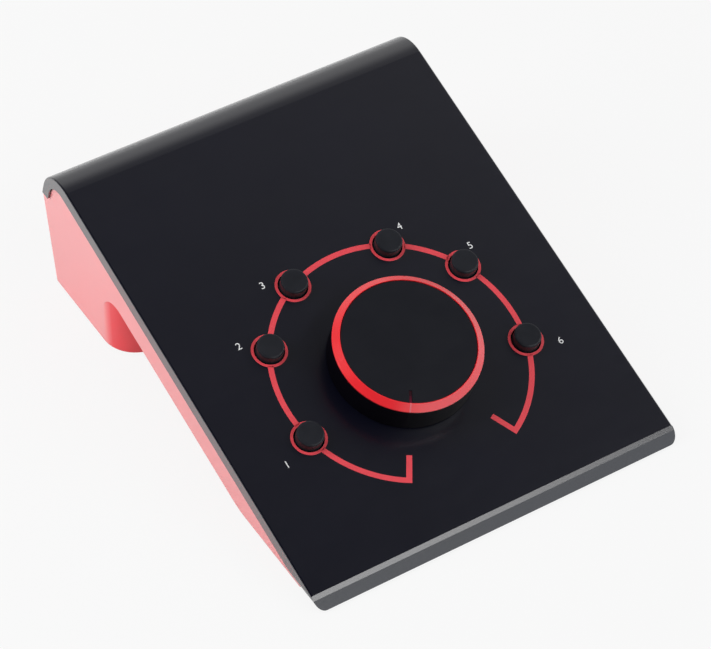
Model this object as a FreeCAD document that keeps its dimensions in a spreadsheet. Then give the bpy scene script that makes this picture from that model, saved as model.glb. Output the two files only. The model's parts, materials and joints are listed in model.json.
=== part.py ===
"""Desktop monitor controller: sloping panel with a volume knob and six push buttons.

Two frames are used. The table frame has its origin under the front edge of the flat
panel, on the housing's underside, with Y to the rear and Z up. The panel frame has its
origin on the front edge of the flat panel, Y up the slope and Z out of the panel. The
sockets have a third one, on the outer face of the rear wall, with Z out of the wall and
Y down it.
"""
import FreeCAD, Part
import math
import os
import Sketcher
from FreeCAD import Vector

doc = FreeCAD.newDocument("monitor_controller")

SIZES = [
    # enclosure
    ("width", "140", "cover, side to side"),
    ("tilt", "17", "slope of the panel, degrees"),
    ("panel_length", "162", "flat panel, front edge to the rear roll"),
    ("roll_radius", "13.5", "outer radius of the rolled rear edge"),
    ("hook_drop", "4.8", "straight end of the hook below the roll"),
    ("hook_wall", "4", "hook's thickness at its tip, seen from the side"),
    ("rim_depth", "5.2", "cover's side rim, seen from the side"),
    ("rim_width", "2.6", "cover's side rim, across"),
    ("cover_wall", "2.6", "cover's panel thickness"),
    ("cover_edge", "0.6", "rounding along the panel's side edges"),
    ("lip_height", "4", "panel's front edge above the housing's underside"),
    ("nose_reach", "4.4", "nose ahead of the panel's front edge"),
    ("bevel_run", "1.6", "bright bevel of the nose, along the panel"),
    ("bevel_drop", "0.6", "bright bevel of the nose, below the panel"),
    ("nose_land", "6.6", "solid part of the nose behind the front edge"),
    ("nose_corner", "3.3", "rounding of the nose's lower corners"),
    # housing
    ("side_inset", "0.8", "housing's side wall inside the cover's side"),
    ("wall_past_tip", "1.4", "housing's rear wall past the hook's tip"),
    ("rear_lean", "10", "lean of the rear wall, degrees"),
    ("housing_wall", "2.5", "housing's wall thickness"),
    ("floor_thickness", "2.6", "housing's floor thickness"),
    ("housing_front", "8", "front edge of the housing's floor"),
    ("tray_depth", "17.1", "arch ceiling below the panel, square to it"),
    ("sweep_radius", "25", "bend from the front land up to the tray"),
    ("block_depth", "46.2", "rear block at its foot, front to rear"),
    ("block_corner", "12.2", "rounding of the block's front corners"),
    ("arch_fillet", "9.5", "fillet between arch and block"),
    ("rear_corner", "0.8", "rounding of the block's rear corners"),
    ("seat_gap", "0.2", "gap between housing and hook"),
    # feet
    ("foot_radius", "5.5", "rubber foot"),
    ("foot_recess", "1.2", "depth of a foot's recess"),
    ("foot_proud", "0.8", "foot below the housing"),
    ("foot_inset", "16.8", "feet inside the housing's side"),
    ("foot_front", "25", "front feet behind the panel's front edge"),
    ("foot_back", "16.2", "rear feet ahead of the rear wall's foot"),
    # controls
    ("knob_centre", "59.8", "knob's axis up the panel"),
    ("ring_radius", "43.8", "circle of the push buttons"),
    ("angle_low", "-15", "lower pair of buttons, degrees"),
    ("angle_mid", "30", "middle pair of buttons, degrees"),
    ("angle_high", "65", "upper pair of buttons, degrees"),
    ("button_radius", "4.65", "button cap"),
    ("button_gap", "0.45", "cap to hole, all round"),
    ("button_proud", "3.6", "cap above the panel"),
    ("button_skirt", "2.2", "cap below the panel's top"),
    ("button_round", "0.7", "rounding of the cap's rim"),
    ("button_travel", "2", "travel of a button"),
    ("plunger_side", "3", "square switch plunger"),
    ("plunger_gap", "0.15", "plunger to switch case"),
    ("socket_gap", "0.04", "plunger tip to cap"),
    ("switch_side", "8.5", "switch case, square"),
    ("switch_height", "6.5", "switch case above the board"),
    # knob
    ("knob_radius", "25.2", "knob's skirt at the bottom"),
    ("knob_draft", "0.3", "skirt narrower at the top by"),
    ("knob_lift", "0.6", "skirt above the panel"),
    ("knob_height", "11.2", "top of the skirt above the panel"),
    ("knob_wall", "2.5", "skirt's wall"),
    ("knob_roof", "2.4", "thickness under the cap"),
    ("hub_radius", "5.5", "hub round the shaft"),
    ("hub_bottom", "4.6", "hub's lower end above the panel"),
    ("rib_width", "1.2", "knob's ribs, across"),
    ("rib_depth", "2.4", "knob's ribs, below the roof"),
    ("ring_outer", "25.26", "red ring outside"),
    ("ring_inner", "22.8", "red ring inside"),
    ("ring_skirt", "0.5", "red ring's straight outer edge"),
    ("ring_top", "2.1", "red ring's height"),
    ("ring_crown", "0.2", "red ring's flat top, across"),
    ("cap_height", "2", "black disc"),
    ("cap_gap", "0.1", "disc to ring"),
    ("cap_edge", "0.25", "disc's bevelled edge"),
    ("tab_length", "4.6", "pointer tab inside the ring"),
    ("tab_width", "0.9", "pointer tab, across"),
    ("tab_height", "0.7", "pointer tab, thickness"),
    ("tab_sink", "0.3", "pointer tab below the disc"),
    ("pointer_angle", "-120", "pointer at minimum, degrees"),
    # potentiometer
    ("shaft_radius", "3", "D shaft"),
    ("shaft_flat", "1.5", "flat of the shaft from its axis"),
    ("shaft_gap", "0.04", "shaft to its bushing and hub"),
    ("shaft_top", "10.3", "shaft above the panel"),
    ("shaft_bottom", "9.5", "shaft below the panel"),
    ("bush_radius", "3.5", "threaded bushing"),
    ("bush_top", "3.4", "bushing above the panel"),
    ("bush_gap", "0.2", "bushing to the panel's hole"),
    ("washer_radius", "6", "pot washer"),
    ("washer_height", "0.5", "pot washer"),
    ("nut_radius", "5.77", "pot nut across its corners, halved"),
    ("nut_height", "2", "pot nut"),
    ("thread_gap", "0.03", "bushing to nut"),
    ("pot_radius", "8.5", "pot case"),
    ("wafer_width", "13", "pot's terminal wafer, across"),
    ("wafer_reach", "12.5", "pot's terminal wafer, from the axis"),
    ("wafer_height", "2", "pot's terminal wafer, thickness"),
    ("lug_width", "1.2", "pot terminal, across"),
    ("lug_length", "3", "pot terminal, forward"),
    ("lug_height", "0.4", "pot terminal, thickness"),
    ("lug_pitch", "4", "pot terminals, apart"),
    # boards
    ("board_depth", "11.2", "top of the main board below the panel"),
    ("board_thickness", "1.6", "circuit boards"),
    ("board_front_margin", "5", "main board ahead of the lowest buttons"),
    ("board_rear_margin", "8.5", "main board behind the highest buttons"),
    ("board_side_margin", "8.2", "main board outside the widest buttons"),
    ("board_screw_margin", "4.6", "board screws inside the main board's edge"),
    ("board_boss", "2.9", "radius of the board's bosses"),
    ("small_screw", "1.2", "board screw's shank radius"),
    ("small_head", "2.2", "board screw's head radius"),
    ("small_head_height", "1.2", "board screw's head"),
    ("screw_gap", "0.1", "screw shank to its hole"),
    # housing screws
    ("case_screw_inset", "6.8", "housing screws inside the housing's side"),
    ("case_screw_front", "22", "front housing screws up the panel"),
    ("case_screw_ahead", "16.8", "rear housing screws ahead of the arch fillet"),
    ("boss_radius", "3.2", "bosses of the housing screws"),
    ("screw_seat", "2.5", "housing's post under a screw head"),
    ("case_screw", "1.3", "housing screw's shank radius"),
    ("case_head", "2.6", "housing screw's head radius"),
    ("case_head_height", "1.1", "housing screw's head"),
    ("case_screw_grip", "3.2", "housing screw in the cover's boss"),
    # sockets
    ("socket_height", "16.5", "row of sockets above the underside"),
    ("jack_bore", "3.25", "plug hole of a jack, radius"),
    ("jack_bore_depth", "26", "plug hole of a jack, depth"),
    ("jack_nose", "5.5", "threaded nose, radius"),
    ("jack_nose_length", "4.2", "threaded nose outside the wall"),
    ("nose_gap", "0.25", "nose to the wall's hole"),
    ("jack_width", "15.6", "jack case, across"),
    ("jack_height", "18", "jack case, along the wall"),
    ("jack_length", "23", "jack case, into the housing"),
    ("jack_space", "1.9", "between the two jacks of a pair"),
    ("jack_washer", "8", "jack washer, radius"),
    ("jack_washer_height", "0.5", "jack washer"),
    ("jack_nut", "7.5", "jack nut across its corners, halved"),
    ("jack_nut_height", "2.2", "jack nut"),
    ("phono_pitch", "14", "phono sockets, apart"),
    ("phono_width", "12.4", "phono case, across"),
    ("phono_height", "24", "phono case, along the wall"),
    ("shell_radius", "4.15", "phono shell, outside"),
    ("shell_wall", "0.6", "phono shell, wall"),
    ("shell_step", "0.2", "phono shell's base inside its outside"),
    ("shell_length", "8.5", "phono shell outside the wall"),
    ("post_gap", "0.05", "phono post to its shell"),
    ("post_short", "0.8", "phono post inside the shell's end"),
    ("contact_radius", "1.6", "phono centre contact, hole"),
    ("contact_depth", "9", "phono centre contact, hole depth"),
    ("phono_bush", "5.4", "coloured bush, radius"),
    ("phono_bush_height", "1.5", "coloured bush outside the wall"),
    ("jack_board_margin", "2.3", "jack board inside the housing's walls"),
    ("jack_board_edge", "1", "jack board beyond the parts it carries"),
    ("ribbon_width", "20", "ribbon connectors, across"),
    ("ribbon_body", "5", "ribbon connectors, thickness"),
    ("ribbon_depth", "6", "ribbon connectors, from the board"),
    ("ribbon_strip", "17.5", "ribbon cable, across"),
    ("ribbon_thickness", "0.9", "ribbon cable, thickness"),
    ("ribbon_bend", "14", "ribbon cable's bend"),
    ("ribbon_lead", "5", "ribbon cable straight before the jack board"),
    ("ribbon_gap", "6", "main board's connector behind the pot"),
]

sheet = doc.addObject("Spreadsheet::Sheet", "Sizes")
for row, (alias, value, meaning) in enumerate(SIZES, start=1):
    sheet.set(f"A{row}", meaning)
    sheet.set(f"B{row}", value)
    sheet.setAlias(f"B{row}", alias)

# What follows from the sizes and is used by more than one piece.
FOLLOWS = [
    ("cosine", "cos(Sizes.tilt)"),
    ("sine", "sin(Sizes.tilt)"),
    ("slope", "tan(Sizes.tilt)"),
    ("rim_half", "Sizes.width / 2 - Sizes.rim_width"),
    ("housing_half", "Sizes.width / 2 - Sizes.side_inset"),
    ("inner_half", "Derived.housing_half - Sizes.housing_wall"),
    ("panel_end", "Sizes.panel_length + Sizes.roll_radius"),
    ("tip_depth", "Sizes.roll_radius + Sizes.hook_drop"),
    ("inner_centre", "Sizes.panel_length + Sizes.rim_depth - Sizes.hook_wall"),
    ("tip_y", "Derived.panel_end * Derived.cosine + Derived.tip_depth * Derived.sine"),
    ("tip_z", "Derived.panel_end * Derived.sine - Derived.tip_depth * Derived.cosine"
              " + Sizes.lip_height"),
    ("ledge_z", "Derived.tip_z - Sizes.seat_gap"),
    ("wall_top_y", "Derived.tip_y + Sizes.wall_past_tip"),
    ("wall_lean", "tan(Sizes.rear_lean)"),
    ("wall_foot_y", "Derived.wall_top_y - Derived.ledge_z * Derived.wall_lean"),
    ("socket_y", "Derived.wall_foot_y + Sizes.socket_height * Derived.wall_lean"),
    ("rearmost", "Derived.socket_y + Sizes.shell_length * cos(Sizes.rear_lean)"
                 " + (Sizes.phono_pitch / 2 + Sizes.shell_radius) * sin(Sizes.rear_lean)"),
    ("setback", "(Derived.rearmost - Sizes.nose_reach) / 2"),
    ("block_front", "Derived.wall_foot_y - Sizes.block_depth"),
    ("lift", "Sizes.lip_height + Sizes.foot_proud"),
    ("sweep_z", "Sizes.sweep_radius * (1 - Derived.cosine)"),
    ("sweep_y", "(Derived.sweep_z - Sizes.lip_height + Sizes.tray_depth / Derived.cosine)"
                " / Derived.slope"),
    ("land_y", "Derived.sweep_y - Sizes.sweep_radius * Derived.sine"),
    ("side_y", "Derived.block_front + Sizes.block_corner"),
    ("fillet_y", "Derived.side_y - Sizes.arch_fillet"),
    ("fillet_z", "Derived.fillet_y * Derived.slope + Sizes.lip_height"
                 " - (Sizes.tray_depth + Sizes.arch_fillet) / Derived.cosine"),
    ("rear_seat", "Sizes.tray_depth - Sizes.floor_thickness"),
    ("foot_across", "Derived.housing_half - Sizes.foot_inset"),
    ("foot_rear", "Derived.wall_foot_y - Sizes.foot_back"),
    ("case_screw_across", "Derived.housing_half - Sizes.case_screw_inset"),
    ("case_screw_rear", "(Derived.fillet_y - Sizes.case_screw_ahead"
                        " - Derived.rear_seat * Derived.sine) / Derived.cosine"),
    ("front_seat", "(Sizes.case_screw_front * Derived.sine + Sizes.lip_height"
                   " - Sizes.floor_thickness * 3 / 4) / Derived.cosine"),
    ("front_joint", "Derived.front_seat - Sizes.screw_seat"),
    ("rear_joint", "Derived.rear_seat - Sizes.screw_seat"),
    ("board_top", "-Sizes.board_depth"),
    ("jack_back", "-(Sizes.housing_wall + Sizes.jack_length)"),
    ("board_half", "Sizes.ring_radius * cos(Sizes.angle_low) + Sizes.board_side_margin"),
    ("board_front", "Sizes.knob_centre + Sizes.ring_radius * sin(Sizes.angle_low)"
                    " - Sizes.board_front_margin"),
    ("board_rear", "Sizes.knob_centre + Sizes.ring_radius * sin(Sizes.angle_high)"
                   " + Sizes.board_rear_margin"),
    ("board_screw_front", "Sizes.knob_centre + Sizes.ring_radius"
                          " * (sin(Sizes.angle_low) + sin(Sizes.angle_mid)) / 2"),
    ("board_screw_rear", "Derived.board_rear - Sizes.board_screw_margin"),
    ("header_rear", "Sizes.knob_centre + Sizes.pot_radius + Sizes.ribbon_gap + Sizes.ribbon_depth"),
    ("strip_level", "Sizes.lip_height + (Derived.board_top + Sizes.ribbon_body / 2) / Derived.cosine"),
    ("strip_cut", "Sizes.ribbon_bend * tan((Sizes.tilt + Sizes.rear_lean) / 2)"),
    ("plug_face", "Derived.jack_back - Sizes.board_thickness - Sizes.ribbon_depth"),
    # the ribbon's run along the panel meets its run into the jack board's connector here
    ("meet_y", "(Derived.plug_face - Sizes.ribbon_lead - Derived.strip_cut"
               " + Derived.socket_y * cos(Sizes.rear_lean)"
               " + (Derived.strip_level - Sizes.socket_height) * sin(Sizes.rear_lean))"
               " / (cos(Sizes.rear_lean) - Derived.slope * sin(Sizes.rear_lean))"),
    ("meet_z", "Derived.meet_y * Derived.slope + Derived.strip_level"),
    ("ribbon_row", "(Derived.meet_y - Derived.socket_y) * sin(Sizes.rear_lean)"
                   " + (Derived.meet_z - Sizes.socket_height) * cos(Sizes.rear_lean)"),
    ("jack_board_top", "Derived.ribbon_row + Sizes.ribbon_body / 2 + Sizes.jack_board_edge"),
    ("jack_board_foot", "Sizes.phono_height / 2 + Sizes.jack_board_edge"),
    ("pair_width", "2 * Sizes.jack_width + Sizes.jack_space"),
    ("row_gap", "(2 * Derived.inner_half - 3 * Derived.pair_width - Sizes.phono_width) / 5"),
    ("phono_x", "Derived.inner_half - Derived.row_gap - Sizes.phono_width / 2"),
]
derived = doc.addObject("Spreadsheet::Sheet", "Derived")
for row, (alias, formula) in enumerate(FOLLOWS, start=1):
    derived.set(f"A{row}", "=" + formula.replace("Derived.", ""))
    derived.setAlias(f"A{row}", alias)
doc.recompute()

TABLE = "placement(vector(0; -Derived.setback; Sizes.foot_proud); rotation(vector(1; 0; 0); 0))"
PANEL = "placement(vector(0; -Derived.setback; Derived.lift); rotation(vector(1; 0; 0); Sizes.tilt))"
KNOB = (
    f"{PANEL} * placement(vector(0; Sizes.knob_centre; 0);"
    " rotation(vector(0; 0; 1); Sizes.pointer_angle))"
)
REAR = (
    "placement(vector(0; Derived.socket_y - Derived.setback;"
    " Sizes.socket_height + Sizes.foot_proud);"
    " rotation(vector(1; 0; 0); -90 - Sizes.rear_lean))"
)
CLOSE = 0.01
nodes = {}
offsets = {}


def value_of(expression):
    """The number that an expression gives now, as a first guess for the sketcher."""
    result = sheet.evalExpression(expression)
    return float(getattr(result, "Value", result))


def on_table(along, above):
    """Table coordinates, as expressions, of a point given in the panel frame."""
    return (
        f"({along}) * Derived.cosine - ({above}) * Derived.sine",
        f"({along}) * Derived.sine + ({above}) * Derived.cosine + Sizes.lip_height",
    )


def on_panel(back, height):
    """Panel coordinates, as expressions, of a point given in the table frame."""
    return (
        f"({back}) * Derived.cosine + (({height}) - Sizes.lip_height) * Derived.sine",
        f"(({height}) - Sizes.lip_height) * Derived.cosine - ({back}) * Derived.sine",
    )


# ---------------------------------------------------------------- sketch helpers
def new_body(name, frame):
    body = doc.addObject("PartDesign::Body", name)
    body.Label = name
    body.setExpression("Placement", frame)
    nodes[name] = body
    return body


def new_sketch(body, plane, name, offset=None):
    sketch = body.newObject("Sketcher::SketchObject", f"{body.Name}_{name}")
    planes = {feature.Role: feature for feature in body.Origin.OriginFeatures}
    sketch.AttachmentSupport = [(planes[plane], "")]
    sketch.MapMode = "FlatFace"
    if offset:
        sketch.setExpression("AttachmentOffset", offset)
    return sketch


def shifted(across, along, up):
    return f"placement(vector({across}; {along}; {up}); rotation(vector(0; 0; 1); 0))"


def raised(height):
    """Offset of a sketch plane along its own normal."""
    return shifted("0", "0", height)


def constrain(sketch, kind, arguments, expression):
    index = sketch.addConstraint(Sketcher.Constraint(kind, *arguments, value_of(expression)))
    sketch.setExpression(f"Constraints[{index}]", expression)


def arc_between(start, end, radius, turn):
    """Arc from start to end; turn is +1 counter-clockwise and -1 clockwise."""
    chord = end - start
    half = chord.Length / 2
    height = math.sqrt(max(radius * radius - half * half, 0.0))
    side = Vector(-chord.y, chord.x, 0).normalize() * (height * turn)
    centre = start + chord / 2 + side
    first, last = (start, end) if turn > 0 else (end, start)
    angles = [math.atan2(point.y - centre.y, point.x - centre.x) for point in (first, last)]
    circle = Part.Circle(centre, Vector(0, 0, 1), radius)
    return Part.ArcOfCircle(circle, angles[0], angles[1])


def outline(sketch, corners):
    """Closed loop. Each corner is (x, y) at the end of a line, or (x, y, radius, turn)
    at the end of an arc, all as expressions."""
    points = [Vector(value_of(corner[0]), value_of(corner[1]), 0) for corner in corners]
    ends = []
    for index, corner in enumerate(corners):
        start, end = points[index - 1], points[index]
        if len(corner) == 2:
            edge = sketch.addGeometry(Part.LineSegment(start, end))
            ends.append((edge, 1, 2))
            continue
        radius, turn = corner[2], corner[3]
        edge = sketch.addGeometry(arc_between(start, end, value_of(radius), turn))
        ends.append((edge, 1, 2) if turn > 0 else (edge, 2, 1))
        constrain(sketch, "Radius", (edge,), radius)
    for index, (edge, first, last) in enumerate(ends):
        following = ends[(index + 1) % len(ends)]
        sketch.addConstraint(
            Sketcher.Constraint("Coincident", edge, last, following[0], following[1])
        )
        constrain(sketch, "DistanceX", (-1, 1, edge, last), corners[index][0])
        constrain(sketch, "DistanceY", (-1, 1, edge, last), corners[index][1])


def rectangle(sketch, left, bottom, right, top):
    outline(sketch, [(left, bottom), (right, bottom), (right, top), (left, top)])


def circle(sketch, across, along, radius):
    centre = Vector(value_of(across), value_of(along), 0)
    edge = sketch.addGeometry(Part.Circle(centre, Vector(0, 0, 1), value_of(radius)))
    constrain(sketch, "Radius", (edge,), radius)
    constrain(sketch, "DistanceX", (-1, 1, edge, 3), across)
    constrain(sketch, "DistanceY", (-1, 1, edge, 3), along)


def extrude(kind, sketch, length, symmetric=False, reverse=False):
    body = sketch.getParentGeoFeatureGroup()
    feature = body.newObject(f"PartDesign::{kind}", f"{sketch.Name}_{kind.lower()}")
    feature.Profile = sketch
    feature.setExpression("Length", length)
    if symmetric:
        feature.SideType = "Symmetric"
    feature.Reversed = reverse
    body.Tip = feature
    return feature


def pad(sketch, length, symmetric=False, reverse=False):
    return extrude("Pad", sketch, length, symmetric, reverse)


def pocket(sketch, length, symmetric=False, reverse=False):
    return extrude("Pocket", sketch, length, symmetric, reverse)


def revolve(sketch):
    body = sketch.getParentGeoFeatureGroup()
    feature = body.newObject("PartDesign::Revolution", f"{sketch.Name}_revolution")
    feature.Profile = sketch
    feature.ReferenceAxis = (sketch, ["V_Axis"])
    feature.Angle = 360
    body.Tip = feature
    return feature


def side_edges(body, half, wanted):
    """Names of the present edges on the two planes x = +-half whose ends satisfy wanted."""
    doc.recompute()
    names = []
    for index, edge in enumerate(body.Tip.Shape.Edges, start=1):
        ends = [vertex.Point for vertex in edge.Vertexes]
        level = len(ends) == 2 and abs(ends[0].x - ends[1].x) < CLOSE
        if level and abs(abs(ends[0].x) - half) < CLOSE and all(map(wanted, ends)):
            names.append(f"Edge{index}")
    return names


def fillet(body, names, radius):
    base = body.Tip
    feature = body.newObject("PartDesign::Fillet", f"{body.Name}_fillet")
    feature.Base = (base, names)
    feature.setExpression("Radius", radius)
    body.Tip = feature
    return feature


# ---------------------------------------------------------------- primitive helpers
def put(piece, across, along, up):
    offsets[piece.Name] = (across, along, up)
    for axis, offset in zip("xyz", offsets[piece.Name]):
        piece.setExpression(f"Placement.Base.{axis}", offset)
    return piece


def cylinder(name, radius, height, across="0", along="0", up="0"):
    piece = doc.addObject("Part::Cylinder", name)
    piece.setExpression("Radius", radius)
    piece.setExpression("Height", height)
    return put(piece, across, along, up)


def cone(name, lower, upper, height, across="0", along="0", up="0"):
    piece = doc.addObject("Part::Cone", name)
    piece.setExpression("Radius1", lower)
    piece.setExpression("Radius2", upper)
    piece.setExpression("Height", height)
    return put(piece, across, along, up)


def hexagon(name, radius, height, across="0", along="0", up="0"):
    piece = doc.addObject("Part::Prism", name)
    piece.Polygon = 6
    piece.setExpression("Circumradius", radius)
    piece.setExpression("Height", height)
    return put(piece, across, along, up)


def block(name, size, across="0", along="0", up="0"):
    """Box centred on across and along, standing on up."""
    piece = doc.addObject("Part::Box", name)
    piece.setExpression("Length", size[0])
    piece.setExpression("Width", size[1])
    piece.setExpression("Height", size[2])
    return put(piece, f"({across}) - ({size[0]}) / 2", f"({along}) - ({size[1]}) / 2", up)


def joined(name, pieces):
    result = doc.addObject("Part::MultiFuse", name)
    result.Shapes = pieces
    return result


def drilled(name, base, tools):
    result = doc.addObject("Part::Cut", name)
    result.Base = base
    result.Tool = tools[0] if len(tools) == 1 else joined(f"{name}_tools", tools)
    return result


def group(name, pieces):
    """One node of separate identical solids."""
    result = doc.addObject("Part::Compound", name)
    result.Links = pieces
    return result


def keep(name, piece, frame):
    piece.Label = name
    if piece.Name in offsets:
        for axis in "xyz":
            piece.setExpression(f"Placement.Base.{axis}", None)
        frame += " * " + shifted(*offsets[piece.Name])
    piece.setExpression("Placement", frame)
    nodes[name] = piece
    return piece


# ---------------------------------------------------------------- places
BUTTONS = {
    "mute": ("180 - Sizes.angle_low"),
    "input_select": ("180 - Sizes.angle_mid"),
    "channel_swap": ("180 - Sizes.angle_high"),
    "output_a": ("Sizes.angle_high"),
    "output_b": ("Sizes.angle_mid"),
    "mono": ("Sizes.angle_low"),
}
button_places = {
    name: (
        f"Sizes.ring_radius * cos({angle})",
        f"Sizes.knob_centre + Sizes.ring_radius * sin({angle})",
    )
    for name, angle in BUTTONS.items()
}
SIDES = {"left": -1, "right": 1}
case_screws = [
    (f"{side} * Derived.case_screw_across", along, end)
    for side in SIDES.values()
    for end, along in (("front", "Sizes.case_screw_front"), ("rear", "Derived.case_screw_rear"))
]
board_screws = [
    (f"{side} * (Derived.board_half - Sizes.board_screw_margin)", f"Derived.board_screw_{end}")
    for side in SIDES.values()
    for end in ("front", "rear")
]
feet = {
    f"foot_{end}_{side}": (f"{sign} * Derived.foot_across", back_from)
    for end, back_from in (("front", "Sizes.foot_front"), ("rear", "Derived.foot_rear"))
    for side, sign in SIDES.items()
}
# pairs of jacks in the order seen from the front, left to right
jacks = {}
for pair, name in enumerate(("second", "main", "input")):
    first = (f"-Derived.inner_half + {pair + 1} * Derived.row_gap"
             f" + {pair} * Derived.pair_width + Sizes.jack_width / 2")
    jacks[f"jack_{name}_right"] = first
    jacks[f"jack_{name}_left"] = f"{first} + Sizes.jack_width + Sizes.jack_space"
phonos = {"upper": "-Sizes.phono_pitch / 2", "lower": "Sizes.phono_pitch / 2"}


# ---------------------------------------------------------------- enclosure
def make_top_cover():
    body = new_body("top_cover", PANEL)
    inner_roll = "Sizes.roll_radius - Sizes.rim_depth"
    rim_inside = "Derived.inner_centre + Sizes.roll_radius - Sizes.rim_depth"
    profile = new_sketch(body, "YZ_Plane", "profile")
    rim_start = "(Sizes.rim_depth - Sizes.lip_height * Derived.cosine) / Derived.sine"
    outline(profile, [
        ("0", "0"),
        ("Sizes.panel_length", "0"),
        ("Derived.panel_end", "-Sizes.roll_radius", "Sizes.roll_radius", -1),
        ("Derived.panel_end", "-Derived.tip_depth"),
        (rim_inside, "Sizes.hook_wall * Derived.slope - Derived.tip_depth"),
        (rim_inside, "-Sizes.roll_radius"),
        ("Derived.inner_centre", "-Sizes.rim_depth", inner_roll, 1),
        on_panel(rim_start, "0"),
        on_panel("-Sizes.nose_reach", "0"),
        ("-Sizes.bevel_run", "-Sizes.bevel_drop"),
    ])
    pad(profile, "Sizes.width", symmetric=True)

    hollow = new_sketch(body, "YZ_Plane", "hollow")
    wall_roll = "Sizes.roll_radius - Sizes.cover_wall"
    below = "-Derived.tip_depth - Sizes.rim_depth"
    outline(hollow, [
        ("Sizes.nose_land", "-Sizes.cover_wall"),
        ("Sizes.panel_length", "-Sizes.cover_wall"),
        (f"Sizes.panel_length + {wall_roll}", "-Sizes.roll_radius", wall_roll, -1),
        (f"Sizes.panel_length + {wall_roll}", below),
        ("Sizes.nose_land", below),
    ])
    pocket(hollow, "2 * Derived.rim_half", symmetric=True)

    corners = new_sketch(
        body, "XZ_Plane", "corners",
        "placement(vector(0; 0; 0); rotation(vector(1; 0; 0); -Sizes.tilt))",
    )
    lowest, outside = "-Sizes.lip_height", "Sizes.width / 2"
    for sign in (-1, 1):
        edge = f"{sign} * {outside}"
        inner = f"{sign} * ({outside} - Sizes.nose_corner)"
        beyond = f"{sign} * ({outside} + Sizes.nose_corner)"
        under = f"{lowest} - Sizes.nose_corner"
        outline(corners, [
            (edge, f"{lowest} + Sizes.nose_corner"),
            (inner, lowest, "Sizes.nose_corner", -sign),
            (inner, under),
            (beyond, under),
            (beyond, f"{lowest} + Sizes.nose_corner"),
        ])
    pocket(corners, "8 * Sizes.nose_reach", symmetric=True)

    holes = new_sketch(body, "XY_Plane", "holes")
    circle(holes, "0", "Sizes.knob_centre", "Sizes.bush_radius + Sizes.bush_gap")
    for across, along in button_places.values():
        circle(holes, across, along, "Sizes.button_radius + Sizes.button_gap")
    pocket(holes, "3 * Sizes.cover_wall", symmetric=True)

    bosses = {
        "front_bosses": ([place for place in case_screws if place[2] == "front"],
                         "Sizes.boss_radius", "Sizes.case_screw", "Derived.front_joint"),
        "rear_bosses": ([place for place in case_screws if place[2] == "rear"],
                        "Sizes.boss_radius", "Sizes.case_screw", "Derived.rear_joint"),
        "board_bosses": (board_screws, "Sizes.board_boss", "Sizes.small_screw",
                         "Sizes.board_depth"),
    }
    for name, (places, outer, shank, depth) in bosses.items():
        rings = new_sketch(body, "XY_Plane", name, raised("-Sizes.cover_wall"))
        for place in places:
            circle(rings, place[0], place[1], outer)
            circle(rings, place[0], place[1], f"{shank} + Sizes.socket_gap")
        pad(rings, f"{depth} - Sizes.cover_wall", reverse=True)

    end = value_of("Derived.panel_end")
    roll_foot = value_of("-Sizes.roll_radius")

    def on_top(point):
        on_roll = abs(point.y - end) < CLOSE and abs(point.z - roll_foot) < CLOSE
        return on_roll or (abs(point.z) < CLOSE and point.y > -CLOSE)
    fillet(body, side_edges(body, value_of("Sizes.width / 2"), on_top), "Sizes.cover_edge")
    return body


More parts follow.
